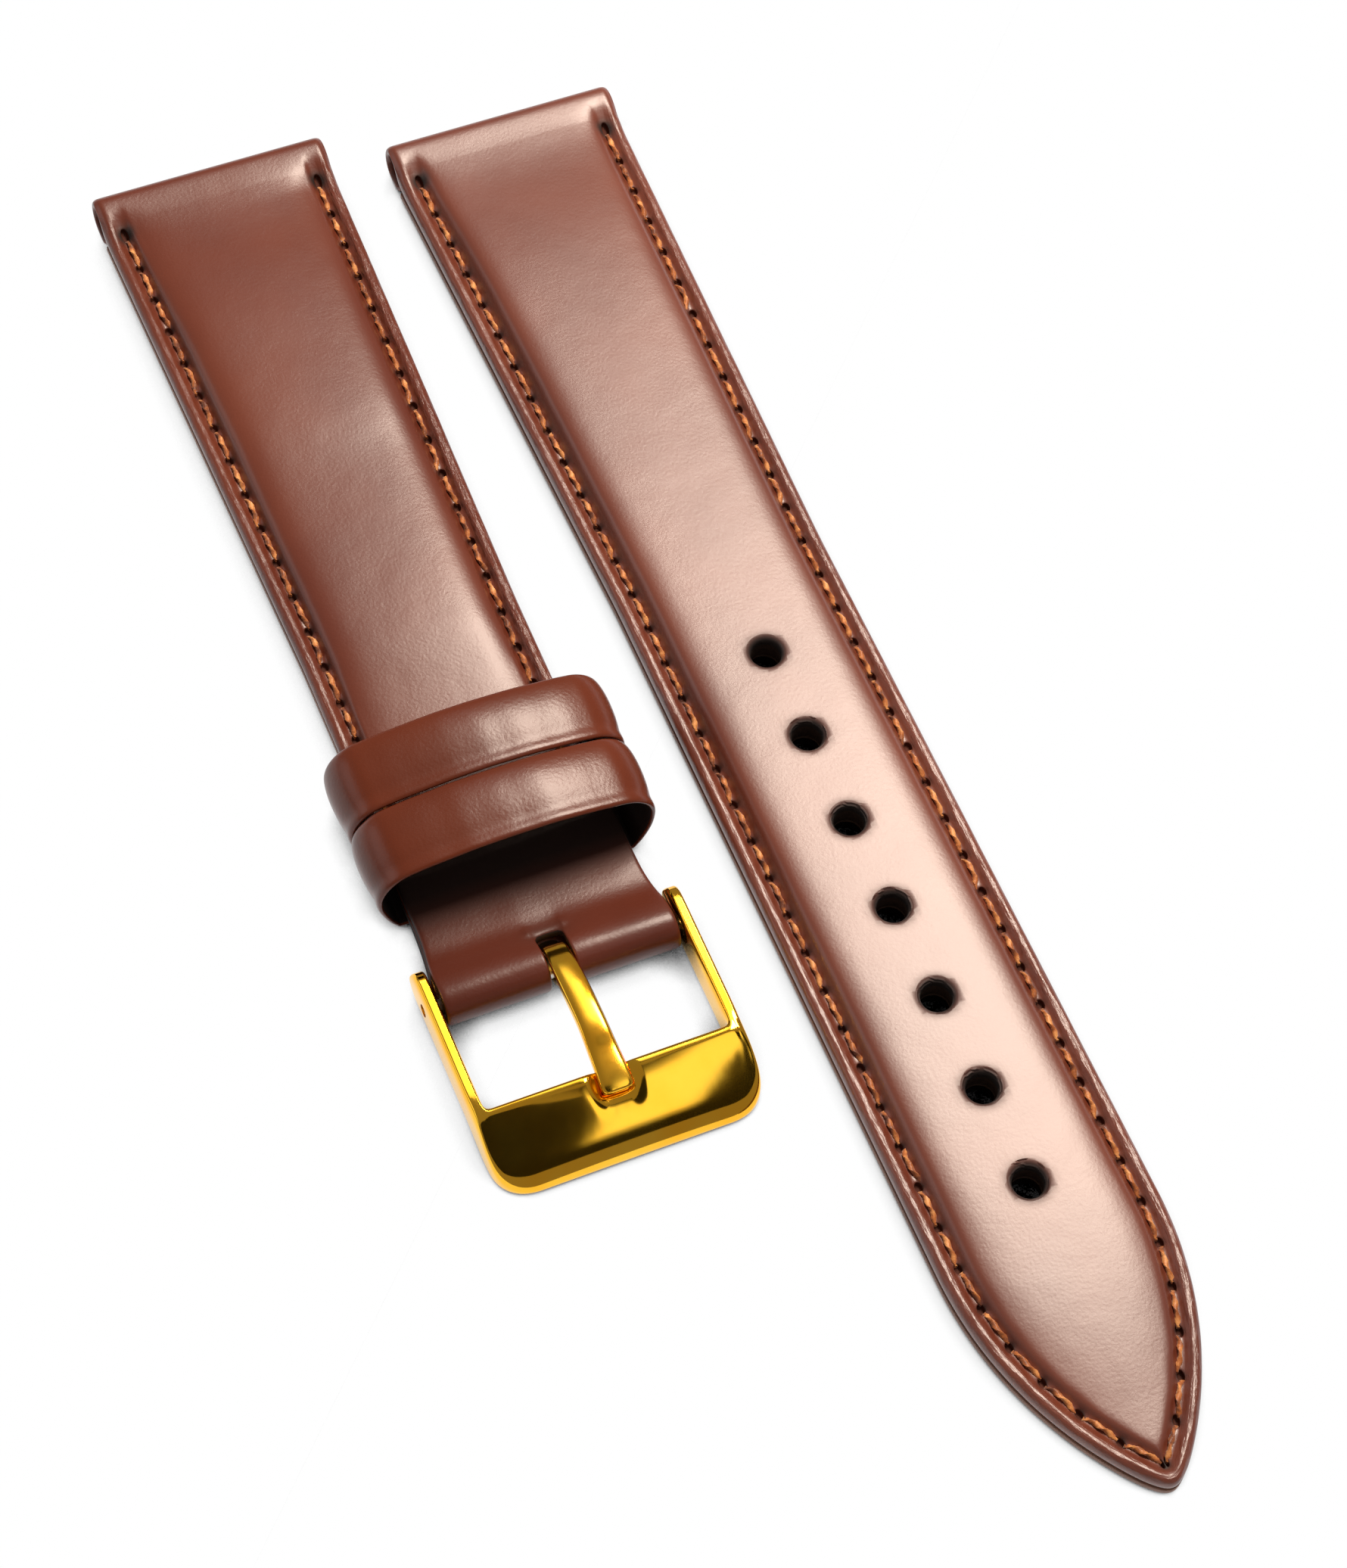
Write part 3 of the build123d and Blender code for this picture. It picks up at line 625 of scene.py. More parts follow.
def tunnel_row(angle):
    """Outer and inner place on the tunnel, turned from straight down round the end to up."""
    sine, cosine = math.sin(math.radians(angle)), math.cos(math.radians(angle))
    return tuple(
        (tunnel_radius - radius * sine, tunnel_radius - radius * cosine)
        for radius in (tunnel_radius, bore_radius)
    )


def hump_row(s, inner):
    return ((s, heights_at(lug_heights, s)[1]), inner)


def edge_share(s):
    """0 on the plain hump at the watch end, 1 where the edge is a stitched bead."""
    return eased((s - hump_start) / (hump_end - hump_start))


tunnel_rows = [
    ((3.3, 0.0), (3.3, 0.7)),
    ((2.5, 0.0), (2.4, 0.72)),
    *[tunnel_row(angle) for angle in (0, 45, 90)],
    ((0.1, 2.15), (0.75, 2.05)),
    ((0.4, 2.72), (1.1, 2.35)),
    hump_row(0.95, (1.4, 2.44)),
    hump_row(1.6, (1.75, 2.38)),
    hump_row(2.2, (2.1, 2.1)),
    hump_row(2.75, (2.4, 1.6)),
    hump_row(3.2, (2.75, 1.0)),
]
print("rings", len(skin_rings), "tunnel rows", len(tunnel_rows))

# %% A grid wrapped round a half
pucker_reach = 0.24         # share of a stitch


def wrap_grid(name, columns, rows, place, half, gathered=None):
    """A grid with one column for each line along the strap. place gives, for a column and a
    row, half-strap coordinates x, s and z, then the inset and the run for the UV map."""
    places = [place(column, row) for row in rows for column in columns]
    wide = len(columns)
    spots = [on_half(half, *spot[:3]) for spot in places]
    piece = grid_of(name, [spots[at : at + wide] for at in range(0, len(spots), wide)])
    layer = piece.data.uv_layers.active.data
    for loop in piece.data.loops:
        layer[loop.index].uv = places[loop.vertex_index][3:]
    if gathered:

        def strength(vertex):
            return gathered(columns[vertex.index % wide], places[vertex.index][1])

        paint(piece, "gathers", strength)
    highest = max(piece.data.polygons, key=lambda face: face.center.z)
    if highest.normal.z < 0:
        edit(piece)
        bpy.ops.mesh.select_all(action="SELECT")
        bpy.ops.mesh.flip_normals()
        leave_edit()
    return piece


def round_the_half(lines):
    """Columns from the middle of one face, round the left edge, on across, and back."""
    left = [(kind, value, -1) for kind, value in lines]
    right = [(kind, value, 1) for kind, value in reversed(lines)]
    return [("start", None, 0), *left, ("middle", None, 0), *right, ("start", None, 0)]


def body_place(inset, side, row):
    """x, s and run of a column on a body row. The middle lines follow the innermost one."""
    x, s = plan_point(inset, row)
    run = seam_straight + row[1] * seam_tip_run if row[1] > 0 else row[0] - first_stitch
    return side * x, s, run


def pucker(run_share):
    """1 at a needle hole, falling to 0 at the middle of a stitch."""
    return max(0.0, 1 - abs(run_share - round(run_share)) / pucker_reach)


print("grid helpers ready")

# %% Shape the two skins
inside_bottom = lining_top + lining_play
unevenness = 0.05           # how far worked leather wanders from its shape
pinch_depth = 0.09
left_gathers = 0.5
skin_side = [("inner", inset) for inset in inner_insets]
skin_side += [("ring", number) for number in range(len(skin_rings))]
skin_side += [("crown", inset) for inset in crown_insets]
skin_columns = round_the_half(skin_side)


def wander(x, s, seed):
    return unevenness * noise.noise(Vector((x, s, seed)))


def skin_height(kind, value, x, s, edge, crown, tightness, arch):
    """Height of one place on the body of the strap. The crown falls by arch times x squared."""
    beaded = edge_share(s)
    top = crown + beaded * (padded_height(x, s, edge, crown) - crown - arch * x * x)
    if kind == "start" or (kind == "inner" and value == inner_insets[0]):
        return max(inside_bottom, top - leather_thickness)
    if kind in ("crown", "middle"):
        return top
    drop = skin_rings[value][1] if kind == "ring" else None
    if drop is None:
        return inside_bottom
    if drop > 0:
        drop *= (crown - edge) / full_crown
    pinch = pinch_depth * tightness if value in lip_rings else 0
    bead = edge + drop - pinch + wander(x * 0.3, s * 0.55, value * 0.7)
    plain = crown + (drop if value < wall_rings else 0)
    return plain + beaded * (bead - plain)


def skin_place(heights, pitch, arch):
    """The place function of one skin."""

    def place(column, row):
        kind, value, side = column
        inset = skin_rings[value][0] if kind == "ring" else value
        if side == 0:
            inset = crown_insets[-1]
        if row in tunnel_rows:
            (s, z), inner = row
            depth = skin_rings[value][2] if kind == "ring" else float(kind in ("inner", "start"))
            if depth < 0.5 and s > lug_heights[0][0] and z > tunnel_radius:
                x = 0 if side == 0 else lug_half_width - inset
                z = skin_height(kind, value, x, s, *heights_at(heights, s), 0, arch)
            s, z = s + depth * (inner[0] - s), z + depth * (inner[1] - z)
            return side * (lug_half_width - inset), s, z, inset, s - first_stitch
        x, s, run = body_place(inset, side, row)
        edge, crown = heights_at(heights, s)
        z = skin_height(kind, value, x, s, edge, crown, pucker(run / pitch), arch)
        return x, s, z, inset, run

    return place


def skin_gathers(right_gathers):
    """How strongly the leather is gathered: only along the bead, most at one edge."""

    def gathered(column, s):
        kind, value, side = column
        if kind != "ring" or value not in gathered_rings:
            return 0.0
        return edge_share(s) * (right_gathers if side > 0 else left_gathers)

    return gathered


def shape_skin(name, seam, heights, arch, half, right_gathers):
    rows = tunnel_rows + seam_rows(seam)
    place = skin_place(heights, seam[0] / seam[1], arch)
    return wrap_grid(name, skin_columns, rows, place, half, skin_gathers(right_gathers))


tail_skin = shape_skin("tail_skin", tail_seam, tail_heights, 0.001, tail_half, 0.7)
short_skin = shape_skin("short_skin", short_seam, short_heights, 0.0055, short_half, 1.0)
print("skin faces", len(tail_skin.data.polygons), len(short_skin.data.polygons))

# %% [markdown]
# ## Needle holes
# An awl leaves a small pit between one stitch and the next, and its walls get a dark finish
# that paints the shade inside it. The floor of the channel has a short face at each pit, so
# insetting that face and pushing it down twice makes the pit, and the subdivision that follows
# rounds it.

# %% Prick the needle holes
pit_rim = 0.02              # how far each inset narrows the face
pit_wall = 0.04
pit_foot = 0.03
rim_sink = 0.04
upper_share = 0.6           # of a pit's depth, between the rim and the second inset


def prick(piece, columns, ring, first_row, count, dark, depth):
    """Inset the channel's faces at the needle holes and push them in, then close the piece."""
    wide = len(columns) - 1
    spots = [i for i, (kind, value, _) in enumerate(columns) if kind == "ring" and value == ring]
    pits = {
        (first_row + 3 * number) * wide + column
        for number in range(count + 1)
        for column in (spots[0], spots[1] - 1)
    }
    # the pit's walls take the dark finish: painted shade in the pit
    piece.data.materials.append(dark)
    select_faces(piece, lambda face: face.index in pits)
    bpy.ops.mesh.inset(thickness=pit_rim * mm, depth=-rim_sink * mm)
    piece.active_material_index = len(piece.data.materials) - 1
    bpy.ops.object.material_slot_assign()
    bpy.ops.mesh.inset(thickness=pit_wall * mm, depth=-upper_share * depth * mm)
    bpy.ops.mesh.inset(thickness=pit_foot * mm, depth=-(1 - upper_share) * depth * mm)
    leave_edit()
    close_up(piece)
    subdivide(piece, 2)
    print(piece.name, "needle holes", len(pits), "triangles", 2 * len(piece.data.polygons))


for skin, seam, leather in (
    (tail_skin, tail_seam, top_leather),
    (short_skin, short_seam, shaded_short_leather),
):
    skin.data.materials.append(leather)
    prick(skin, skin_columns, channel_ring, len(tunnel_rows), seam[1], pit_shade, 0.4)

# %% [markdown]
# ## Adjustment holes
# The tail's seven holes are punched, and the punch draws the leather down round each one. The
# cutter is shaped like a trumpet: a cylinder whose top is extruded and widened in steps along
# a quarter circle. Cutting with it leaves the rounded rim, and its own near-black finish, which
# paints the shade inside the hole.

# %% Punch the holes
hole_count = 7
first_hole = 52.4
hole_pitch = 7.2
hole_radius = 1.1
hole_play = 0.02
hole_places = [first_hole + number * hole_pitch for number in range(hole_count)]
rim_round = 0.5
rim_steps = 6
cutter_foot = -1.0
cutter_head = 1.0
head_flare = 1.3
# below this share the cutter's walls take the near-black finish, painted shade in the hole
leather_share = 0.8         # of the rim's rounding, below which it is dark


def trumpet(s, top):
    """Cutter for one hole, with its rounded rim at the given height."""
    stem = top - rim_round - cutter_foot
    deselect()
    bpy.ops.mesh.primitive_cylinder_add(
        vertices=40,
        radius=hole_radius * mm,
        depth=stem * mm,
        location=on_half(tail_half, 0, s, cutter_foot + stem / 2),
    )
    cutter = named("cutter")
    bpy.ops.object.transform_apply(location=True)
    select_faces(cutter, lambda face: face.normal.z > 0.9)
    radius, risen = hole_radius, 0
    for step in range(1, rim_steps + 1):
        angle = math.radians(90 / rim_steps * step)
        wider = hole_radius + rim_round * (1 - math.cos(angle))
        rise = rim_round * (math.sin(angle) - risen)
        bpy.ops.mesh.extrude_region_move(TRANSFORM_OT_translate={"value": (0, 0, rise * mm)})
        bpy.ops.transform.resize(value=(wider / radius, wider / radius, 1))
        radius, risen = wider, math.sin(angle)
    bpy.ops.mesh.extrude_region_move(TRANSFORM_OT_translate={"value": (0, 0, cutter_head * mm)})
    bpy.ops.transform.resize(value=(head_flare, head_flare, 1))
    leave_edit()
    # near-black walls: painted shade inside the punched hole
    cutter.data.materials.append(hole_shade)
    cutter.data.materials.append(top_leather)
    for face in cutter.data.polygons:
        face.material_index = int(face.center.z > (top - leather_share * rim_round) * mm)
    return cutter


def hole_cutters():
    cutters = []
    for s in hole_places:
        edge, crown = heights_at(tail_heights, s)
        cutters.append(trumpet(s, padded_height(0, s, edge, crown) + hole_play))
    return join("cutter", cutters)


cut(tail_skin, hole_cutters())
print("punched", hole_count, "holes, faces now", len(tail_skin.data.polygons))

# %% Burnish the rims and paint their shade
# dark rings round the holes: partly burnish, partly painted shade where the rim dips
needle_burnish_and_shade = (0.14, 0.24)           # radius and fade of a dark ring
first_needle_burnish_and_shade = (0.3, 0.42)
punched_burnish_and_shade = (hole_radius - hole_play, 0.45)


def burnish_and_shade(piece, spots):
    """Darken the leather round each spot, given as a place in plan, a radius and a fade. The dark
    ring is partly burnish and partly painted shade of the dent.
    """
    tree = kdtree.KDTree(len(spots))
    for number, (x, y, _, _) in enumerate(spots):
        tree.insert((x, y, 0), number)
    tree.balance()

    def strength(vertex):
        _, number, distance = tree.find((vertex.co.x, vertex.co.y, 0))
        radius, fade = spots[number][2:]
        return math.exp(-(max(distance / mm - radius, 0) / fade) ** 2)

    paint(piece, "burnish_and_shade", strength)
    print(piece.name, "burnished spots", len(spots))


def needle_hole(seam, number):
    """Half breadth and s of one needle hole."""
    length, count, pointed = seam
    return plan_point(seam_inset, row_at(number * length / count, pointed))


def spot_on(half, x, s, size):
    return (*on_half(half, x, s, 0)[:2], *size)


def needle_spots(seam, half):
    """The needle holes, the first of each row with the widest dark ring."""
    spots = []
    for number in range(seam[1] + 1):
        x, s = needle_hole(seam, number)
        size = needle_burnish_and_shade if number else first_needle_burnish_and_shade
        spots += [spot_on(half, side * x, s, size) for side in (-1, 1)]
    return spots


punched = [spot_on(tail_half, 0, s, punched_burnish_and_shade) for s in hole_places]
burnish_and_shade(tail_skin, needle_spots(tail_seam, tail_half) + punched)
burnish_and_shade(short_skin, needle_spots(short_seam, short_half))

# %% [markdown]
# ## The linings
# Under each half lies a thinner, paler leather. It is cut flush with the turned edge, its
# own edge is rounded, and a groove in its underside keeps the lower thread off the wrist.
# It comes from the same grid, wrapped from the middle of its top round to its underside.

# %% Shape the two linings
# inset from the edge, height
lining_rings = [
    (0.14, 0.79),
    (0.02, 0.74),
    (0.0, 0.4),
    (0.06, 0.1),
    (0.35, 0.0),
    (1.08, 0.0),
    (1.2, 0.47),
    (1.7, 0.47),
    (1.82, 0.0),
    (2.6, 0.0),
]
lining_groove = 6
lining_middle = 4.6
lining_face = 0.79          # just clear of the leather above
lining_columns = round_the_half([
    ("top", lining_middle),
    *[("ring", number) for number in range(len(lining_rings))],
    ("under", lining_middle),
])


def lining_place(column, row):
    kind, value, side = column
    inset, z = lining_rings[value] if kind == "ring" else (lining_middle, 0.0)
    if kind in ("top", "start"):
        z = lining_face
    x, s, run = body_place(inset, side, row)
    return x, s, z, inset, run


def shape_lining(name, seam, half):
    rows = [(crease_at + lining_play, 0.0), *seam_rows(seam)]
    piece = wrap_grid(name, lining_columns, rows, lining_place, half)
    piece.data.materials.append(lining_leather)
    # the lining's needle holes take the near-black finish, painted shade in the holes
    prick(piece, lining_columns, lining_groove, 1, seam[1], hole_shade, 0.2)
    edit(piece)
    turn_outwards()
    return piece


tail_base = shape_lining("tail_base", tail_seam, tail_half)
short_base = shape_lining("short_base", short_seam, short_half)
cut(tail_base, hole_cutters())
print("linings ready")

# %% [markdown]
# ## The stitching
# A stitch is a short length of twisted thread that comes out of one needle hole, lies in the
# channel and goes down the next. One stitch is modelled: an oval end face is extruded step
# by step, and each step is turned a little, which lays the twist. It is then copied to every
# place along the seams, with small differences, as a hand-guided machine would leave.

# %% Model one stitch
thread_radius = 0.2
thread_share = 0.83         # of the pitch, so that the needle holes show
thread_oval = (1.12, 1, 0.72)
twist = 48                  # degrees a step
twist_steps = 9
dive_power = 2.8            # more keeps the stitch level for longer before its ends dive


def twisted_stitch(length, radius, dive):
    """A stitch along +Y, centred on the origin, with both ends bent down into the leather."""
    here = Vector((0, -length / 2, -dive))
    deselect()
    bpy.ops.mesh.primitive_circle_add(
        vertices=8, radius=radius, fill_type="NGON", location=here, rotation=(math.pi / 2, 0, 0)
    )
    stitch = named("stitch")
    bpy.ops.object.transform_apply(location=True, rotation=True)
    edit(stitch)
    bpy.ops.mesh.select_all(action="SELECT")
    bpy.ops.transform.resize(value=thread_oval)
    for step in range(1, twist_steps + 1):
        share = step / twist_steps
        drop = dive * abs(2 * share - 1) ** dive_power
        there = Vector((0, length * (share - 0.5), -drop))
        bpy.ops.mesh.extrude_region_move(TRANSFORM_OT_translate={"value": there - here})
        bpy.ops.transform.rotate(value=math.radians(twist), orient_axis="Y", center_override=there)
        here = there
    turn_outwards()
    print("stitch faces", len(stitch.data.polygons))
    return stitch


# %% Lay the seams
bobbin_level = 0.25
hump_rise = 0.25            # the first stitch lies higher, where the hump's ends still are
sway = math.radians(8)      # how far a stitch may turn in plan, and about its own line
roll_over = math.radians(90)


def lay_seam(name, template, seam, height, half):
    """Copy the stitch to every place along both sides and join the copies."""
    laid = []
    for side in (-1, 1):
        for number in range(seam[1]):
            ends = []
            for n in (number, number + 1):
                x, s = needle_hole(seam, n)
                ends.append(Vector(on_half(half, side * x, s, height(s))))
            along = (ends[1] - ends[0]).normalized()
            sideways = along.cross(Vector((0, 0, 1))).normalized()
            upward = sideways.cross(along)
            turn = Matrix((sideways, along, upward)).transposed().to_4x4()
            wobble = noise.noise(Vector((number * 1.7, side * 3.1, seam[1])))
            turn = turn @ Matrix.Rotation(sway * wobble, 4, "Z")
            turn = turn @ Matrix.Rotation(roll_over * wobble, 4, "Y")
            copy = template.copy()
            copy.data = template.data.copy()
            copy.data.transform(Matrix.Translation((ends[0] + ends[1]) / 2) @ turn)
            bpy.context.collection.objects.link(copy)
            laid.append(copy)
    piece = join(name, laid)
    print(name, "stitches", len(laid), "faces", len(piece.data.polygons))
    return piece


def needle_height(heights):
    return lambda s: heights_at(heights, s)[0] - thread_radius + hump_rise * (1 - edge_share(s))


def lay_threads(name, dive, tail_height, short_height):
    """One kind of stitch, laid along the seams of both halves."""
    length = tail_seam[0] / tail_seam[1] * mm * thread_share
    stitch = twisted_stitch(length, thread_radius * mm, dive * mm)
    tail = lay_seam("tail_" + name, stitch, tail_seam, tail_height, tail_half)
    short = lay_seam("short_" + name, stitch, short_seam, short_height, short_half)
    bpy.data.objects.remove(stitch)
    return tail, short


tail_thread, short_thread = lay_threads(
    "thread", 0.42, needle_height(tail_heights), needle_height(short_heights)
)
tail_under_thread, short_under_thread = lay_threads(
    "under_thread", -0.1, lambda s: bobbin_level, lambda s: bobbin_level
)

# %% [markdown]
# ## The folded tab
# Beyond the keepers the strap is one plain piece of leather, folded round the buckle's
# spring bar and glued to itself. A strip of grid follows the fold seen from the side. The
# faces where the tongue passes are deleted, and Solidify gives the leather its thickness,
# with the dark finish on the cut edges.

# %% Fold the tab
tab_half = strap_half_width
tab_ply = 0.72
tab_flare = 0.055           # how much wider the tab gets towards the fold
flare_start = 67.0
flare_run = 3.0
loop_radius = 1.6
bar_up = bar_z - short_lift / mm
slot_half = 0.93
slot_back = bar_s - 2.12
slot_play = 0.01
tab_arch = 0.003
slot_shade = 0.55
keeper_shade = 0.9
keeper_shade_end = 65.0
keeper_shade_fade = 1.1


def fold_path():
    """Side view of the tab's outer face, as (s, z) from below round the bar to the top."""
    path = [(60.15, 0.0), (64.0, 0.0), (67.6, 0.0), (69.65, -0.2), (70.8, -0.42)]
    for angle in range(-90, 91, 30):
        turn = math.radians(angle)
        path.append((bar_s + loop_radius * math.cos(turn), bar_up + loop_radius * math.sin(turn)))
    path += [(70.9, 2.5), (70.2, 2.26), (69.65, 2.03), (69.2, 1.83), (68.7, 1.66), (68.0, 1.53)]
    return path + [(66.8, 1.5), (64.0, 1.5), (60.15, 1.5)]


def mound(height, x, x_spread, s, s_spread):
    """A bell shape of the given height, at a distance x and s from its middle."""
    return height * math.exp(-(x**2) / x_spread - s**2 / s_spread)


def tab_dent(x, s):
    """The tongue's pull dents the leather behind the slot and puckers the slot's corners."""
    dent = mound(0.3, x, 2.2, s - 69.4, 0.7)
    lumps = mound(0.3, abs(x) - 1.2, 0.07, s - 69.2, 0.07)
    crest = mound(0.06, x - 4.8, 5, s - 71.3, 0.25)
    arch = tab_arch * (tab_half**2 - x * x)
    return arch + lumps + crest - dent + wander(x * 0.4, s * 0.5, 1)


def tab_painted_shade(vertex):
    """Painted shade in the hollow behind the slot and painted shadow under the fixed keeper's
    rim, on the upper face only.
    """
    if vertex.co.z <= short_lift + mm:
        return 0.0
    x = (vertex.co.x - short_x) / mm
    s = (short_y - vertex.co.y) / mm
    past_keeper = max(s - keeper_shade_end, 0) / keeper_shade_fade
    under_keeper = keeper_shade * math.exp(-(past_keeper**2))
    return max(mound(slot_shade, x, 1.6, s - 69.5, 0.6), under_keeper)


def make_tab():
    path = fold_path()
    right = [slot_half, 1.15, 1.4, 1.9, 3.2, 4.8, 6.4, 7.6, tab_half]
    across = [-x for x in reversed(right)] + right
    rows = []
    for s, z in path:
        flare = tab_flare * held((s - flare_start) / flare_run)
        rows.append([
            on_half(
                short_half,
                x * (1 + flare * abs(x) / tab_half),
                s,
                z + (tab_dent(x, s) if z > 1 else 0),
            )
            for x in across
        ])
    tab = grid_of("tab", rows)

    def in_slot(face):
        number, column = divmod(face.index, len(across) - 1)
        inner = min(path[number][0], path[number + 1][0])
        return column == len(right) - 1 and inner >= slot_back - slot_play

    select_faces(tab, in_slot)
    bpy.ops.mesh.delete(type="FACE")
    turn_outwards()
    tab.data.materials.append(tab_leather)
    tab.data.materials.append(cut_edge_and_shade)
    # painted shade behind the slot and painted shadow under the keeper
    paint(tab, "burnish_and_shade", tab_painted_shade)
    upper = max(tab.data.polygons, key=lambda face: face.center.z)
    outward = -1.0 if upper.normal.z > 0 else 1.0
    modify(
        tab, "SOLIDIFY", thickness=tab_ply * mm, offset=outward, use_even_offset=True,
        material_offset_rim=1,
    )
    subdivide(tab, 2)
    print("tab faces", len(tab.data.polygons), "outward", outward)
    return tab


tab = make_tab()

# %% [markdown]
# ## The keepers
# A keeper is a stiff band bent into a loop, joined under the strap. Its rims are rolled
# over and its middle stands a little proud. A torus has just this build, a ring of small
# rings, so each ring is set along the loop and pressed into the band's own section.

# %% Bend the keepers
keeper_half_width = 10.25
keeper_height = 8.0
widest_at = 4.1
foot_inset = 1.65
shoulder_inset = 2.25
crown_radius = 40.0
keeper_width = 5.4
keeper_rings = 112
arc_steps = 40              # for measuring the loop


def keeper_loop(count):
    """Points round the keeper's outside with their outward normals, evenly spaced."""

    def side_arc(radius, turn):
        """The side bows out on two arcs, which meet where the keeper is widest."""
        x = keeper_half_width - radius + radius * math.cos(turn)
        return x, widest_at + radius * math.sin(turn)

    def top_arc(x):
        return x, keeper_height - crown_radius + math.sqrt(crown_radius**2 - x**2)

    foot = keeper_half_width - foot_inset
    shoulder = keeper_half_width - shoulder_inset
    rise = top_arc(shoulder)[1] - widest_at
    low = (foot_inset**2 + widest_at**2) / (2 * foot_inset)
    high = (shoulder_inset**2 + rise**2) / (2 * shoulder_inset)
    shares = [step / arc_steps for step in range(arc_steps)]
    fine = [(foot * share, 0.0) for share in shares]
    fine += [side_arc(low, -math.asin(widest_at / low) * (1 - share)) for share in shares]
    fine += [side_arc(high, math.asin(rise / high) * share) for share in shares]
    fine += [top_arc(shoulder * (1 - share)) for share in (*shares, 1)]
    fine += [(-x, z) for x, z in reversed(fine[1:-1])]
    fine.append(fine[0])
    lengths = [0.0]
    for start, end in zip(fine, fine[1:]):
        lengths.append(lengths[-1] + math.dist(start, end))
    loop = []
    at = 0
    for number in range(count):
        goal = lengths[-1] * number / count
        while lengths[at + 1] < goal:
            at += 1
        (x0, z0), (x1, z1) = fine[at], fine[at + 1]
        share = (goal - lengths[at]) / (lengths[at + 1] - lengths[at])
        run = math.hypot(x1 - x0, z1 - z0)
        normal = ((z1 - z0) / run, -(x1 - x0) / run)
        loop.append((x0 + share * (x1 - x0), z0 + share * (z1 - z0), normal))
    return loop


# from the rear rim over the outside to the front rim and back inside: place along the strap
# from the middle, and depth below the keeper's highest line
keeper_section = [
    (-2.7, 0.44), (-2.63, 0.3), (-2.42, 0.19), (-2.0, 0.09), (-1.4, 0.02), (-0.7, 0.0),
    (0.1, 0.03), (0.8, 0.1), (1.3, 0.19), (1.62, 0.24), (1.92, 0.24), (2.2, 0.21),
    (2.45, 0.22), (2.63, 0.3), (2.7, 0.44), (2.58, 0.58), (2.2, 0.66), (1.0, 0.68),
    (-1.0, 0.68), (-2.3, 0.67), (-2.6, 0.58),
]
inside_depth = 0.5          # faces deeper than this are the cut inside of the band
full_relief_at = 2.4        # below this height the band gets plainer
middle_depth = 0.42
plain_depth = 0.3
plain_relief = 0.85


def make_keeper(name, front):
    """One keeper whose front rim lies at the given distance from the watch end."""
    section = len(keeper_section)
    deselect()
    bpy.ops.mesh.primitive_torus_add(major_segments=keeper_rings, minor_segments=section)
    keeper = named(name)
    middle = front - keeper_width / 2
    loop = keeper_loop(keeper_rings)
    for vertex in keeper.data.vertices:
        number, step = divmod(vertex.index, section)
        x, z, (nx, nz) = loop[number]
        reach, relief = keeper_section[step]
        raised = eased(z / full_relief_at)
        plain = plain_depth + plain_relief * (relief - middle_depth)
        uneven = wander(x * 0.5, z * 0.5, front * 0.3)
        deep = raised * (relief + uneven) + (1 - raised) * plain
        vertex.co = on_half(buckle_half, x - nx * deep, middle + reach, z - nz * deep)
    keeper.data.materials.append(keeper_leather)
    keeper.data.materials.append(cut_edge_and_shade)
    # the band's inside takes the near-black edge finish, painted shade inside the loop
    for face in keeper.data.polygons:
        depths = [keeper_section[vertex % section][1] for vertex in face.vertices]
        face.material_index = int(min(depths) > inside_depth)
    close_up(keeper)
    subdivide(keeper, 1)
    print(name, "faces", len(keeper.data.polygons))
    return keeper


fixed_front = (short_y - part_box("fixed_keeper")[0].y) / mm
free_front = (short_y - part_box("free_keeper")[0].y) / mm
fixed_band = make_keeper("fixed_band", fixed_front)
free_band = make_keeper("free_band", free_front)

# %% [markdown]
# ## The gilt buckle
# The buckle is one casting: two slim legs with rounded ends and a broad front bar that slopes
# away from the window. Polished metal shows every flaw of its mesh, so joining blocks would
# not do. One grid is wrapped round the whole U instead: its rows run across a leg, fan out
# round each corner and go on across the bar, and Subdivision rounds all the edges evenly.

# %% Sizes of the buckle frame
leg_inner = 8.6
leg_outer = 9.6
leg_half_height = 1.45
leg_rear = bar_s - 2.7
leg_low = bar_z - leg_half_height
leg_top = bar_z + leg_half_height
leg_lean = 0.022            # the left leg's top leans inwards by this over its breadth
bar_low = 0.1
window_front = bar_s + 8.7
frame_front = window_front + 5.6
slope_start = window_front + 0.55
slope_bulge = 0.42
side_fall = 0.3             # the front bar's top falls by this towards the sides
side_fall_share = 0.4       # of the slope, where that fall is complete
nose_height = 1.0
corner_radius = 2.4
dip_s = bar_s + 9.85        # middle of the dip that takes the tongue's tip
dip_reach = 1.8
dip_border = 0.6
dip_depth = 0.22


def frame_top(x, s):
    """Height of the bar's top: flat lip, then a broad slope, convex both ways, and the dip."""
    height = leg_top
    if s > slope_start:
        share = min((s - slope_start) / (frame_front - slope_start), 1)
        height -= share * (leg_top - nose_height) - slope_bulge * math.sin(math.pi * share)
        height -= side_fall * (x / leg_outer) ** 2 * min(share / side_fall_share, 1)
    return height - dip_depth * eased((dip_reach - math.hypot(x, s - dip_s)) / dip_border)


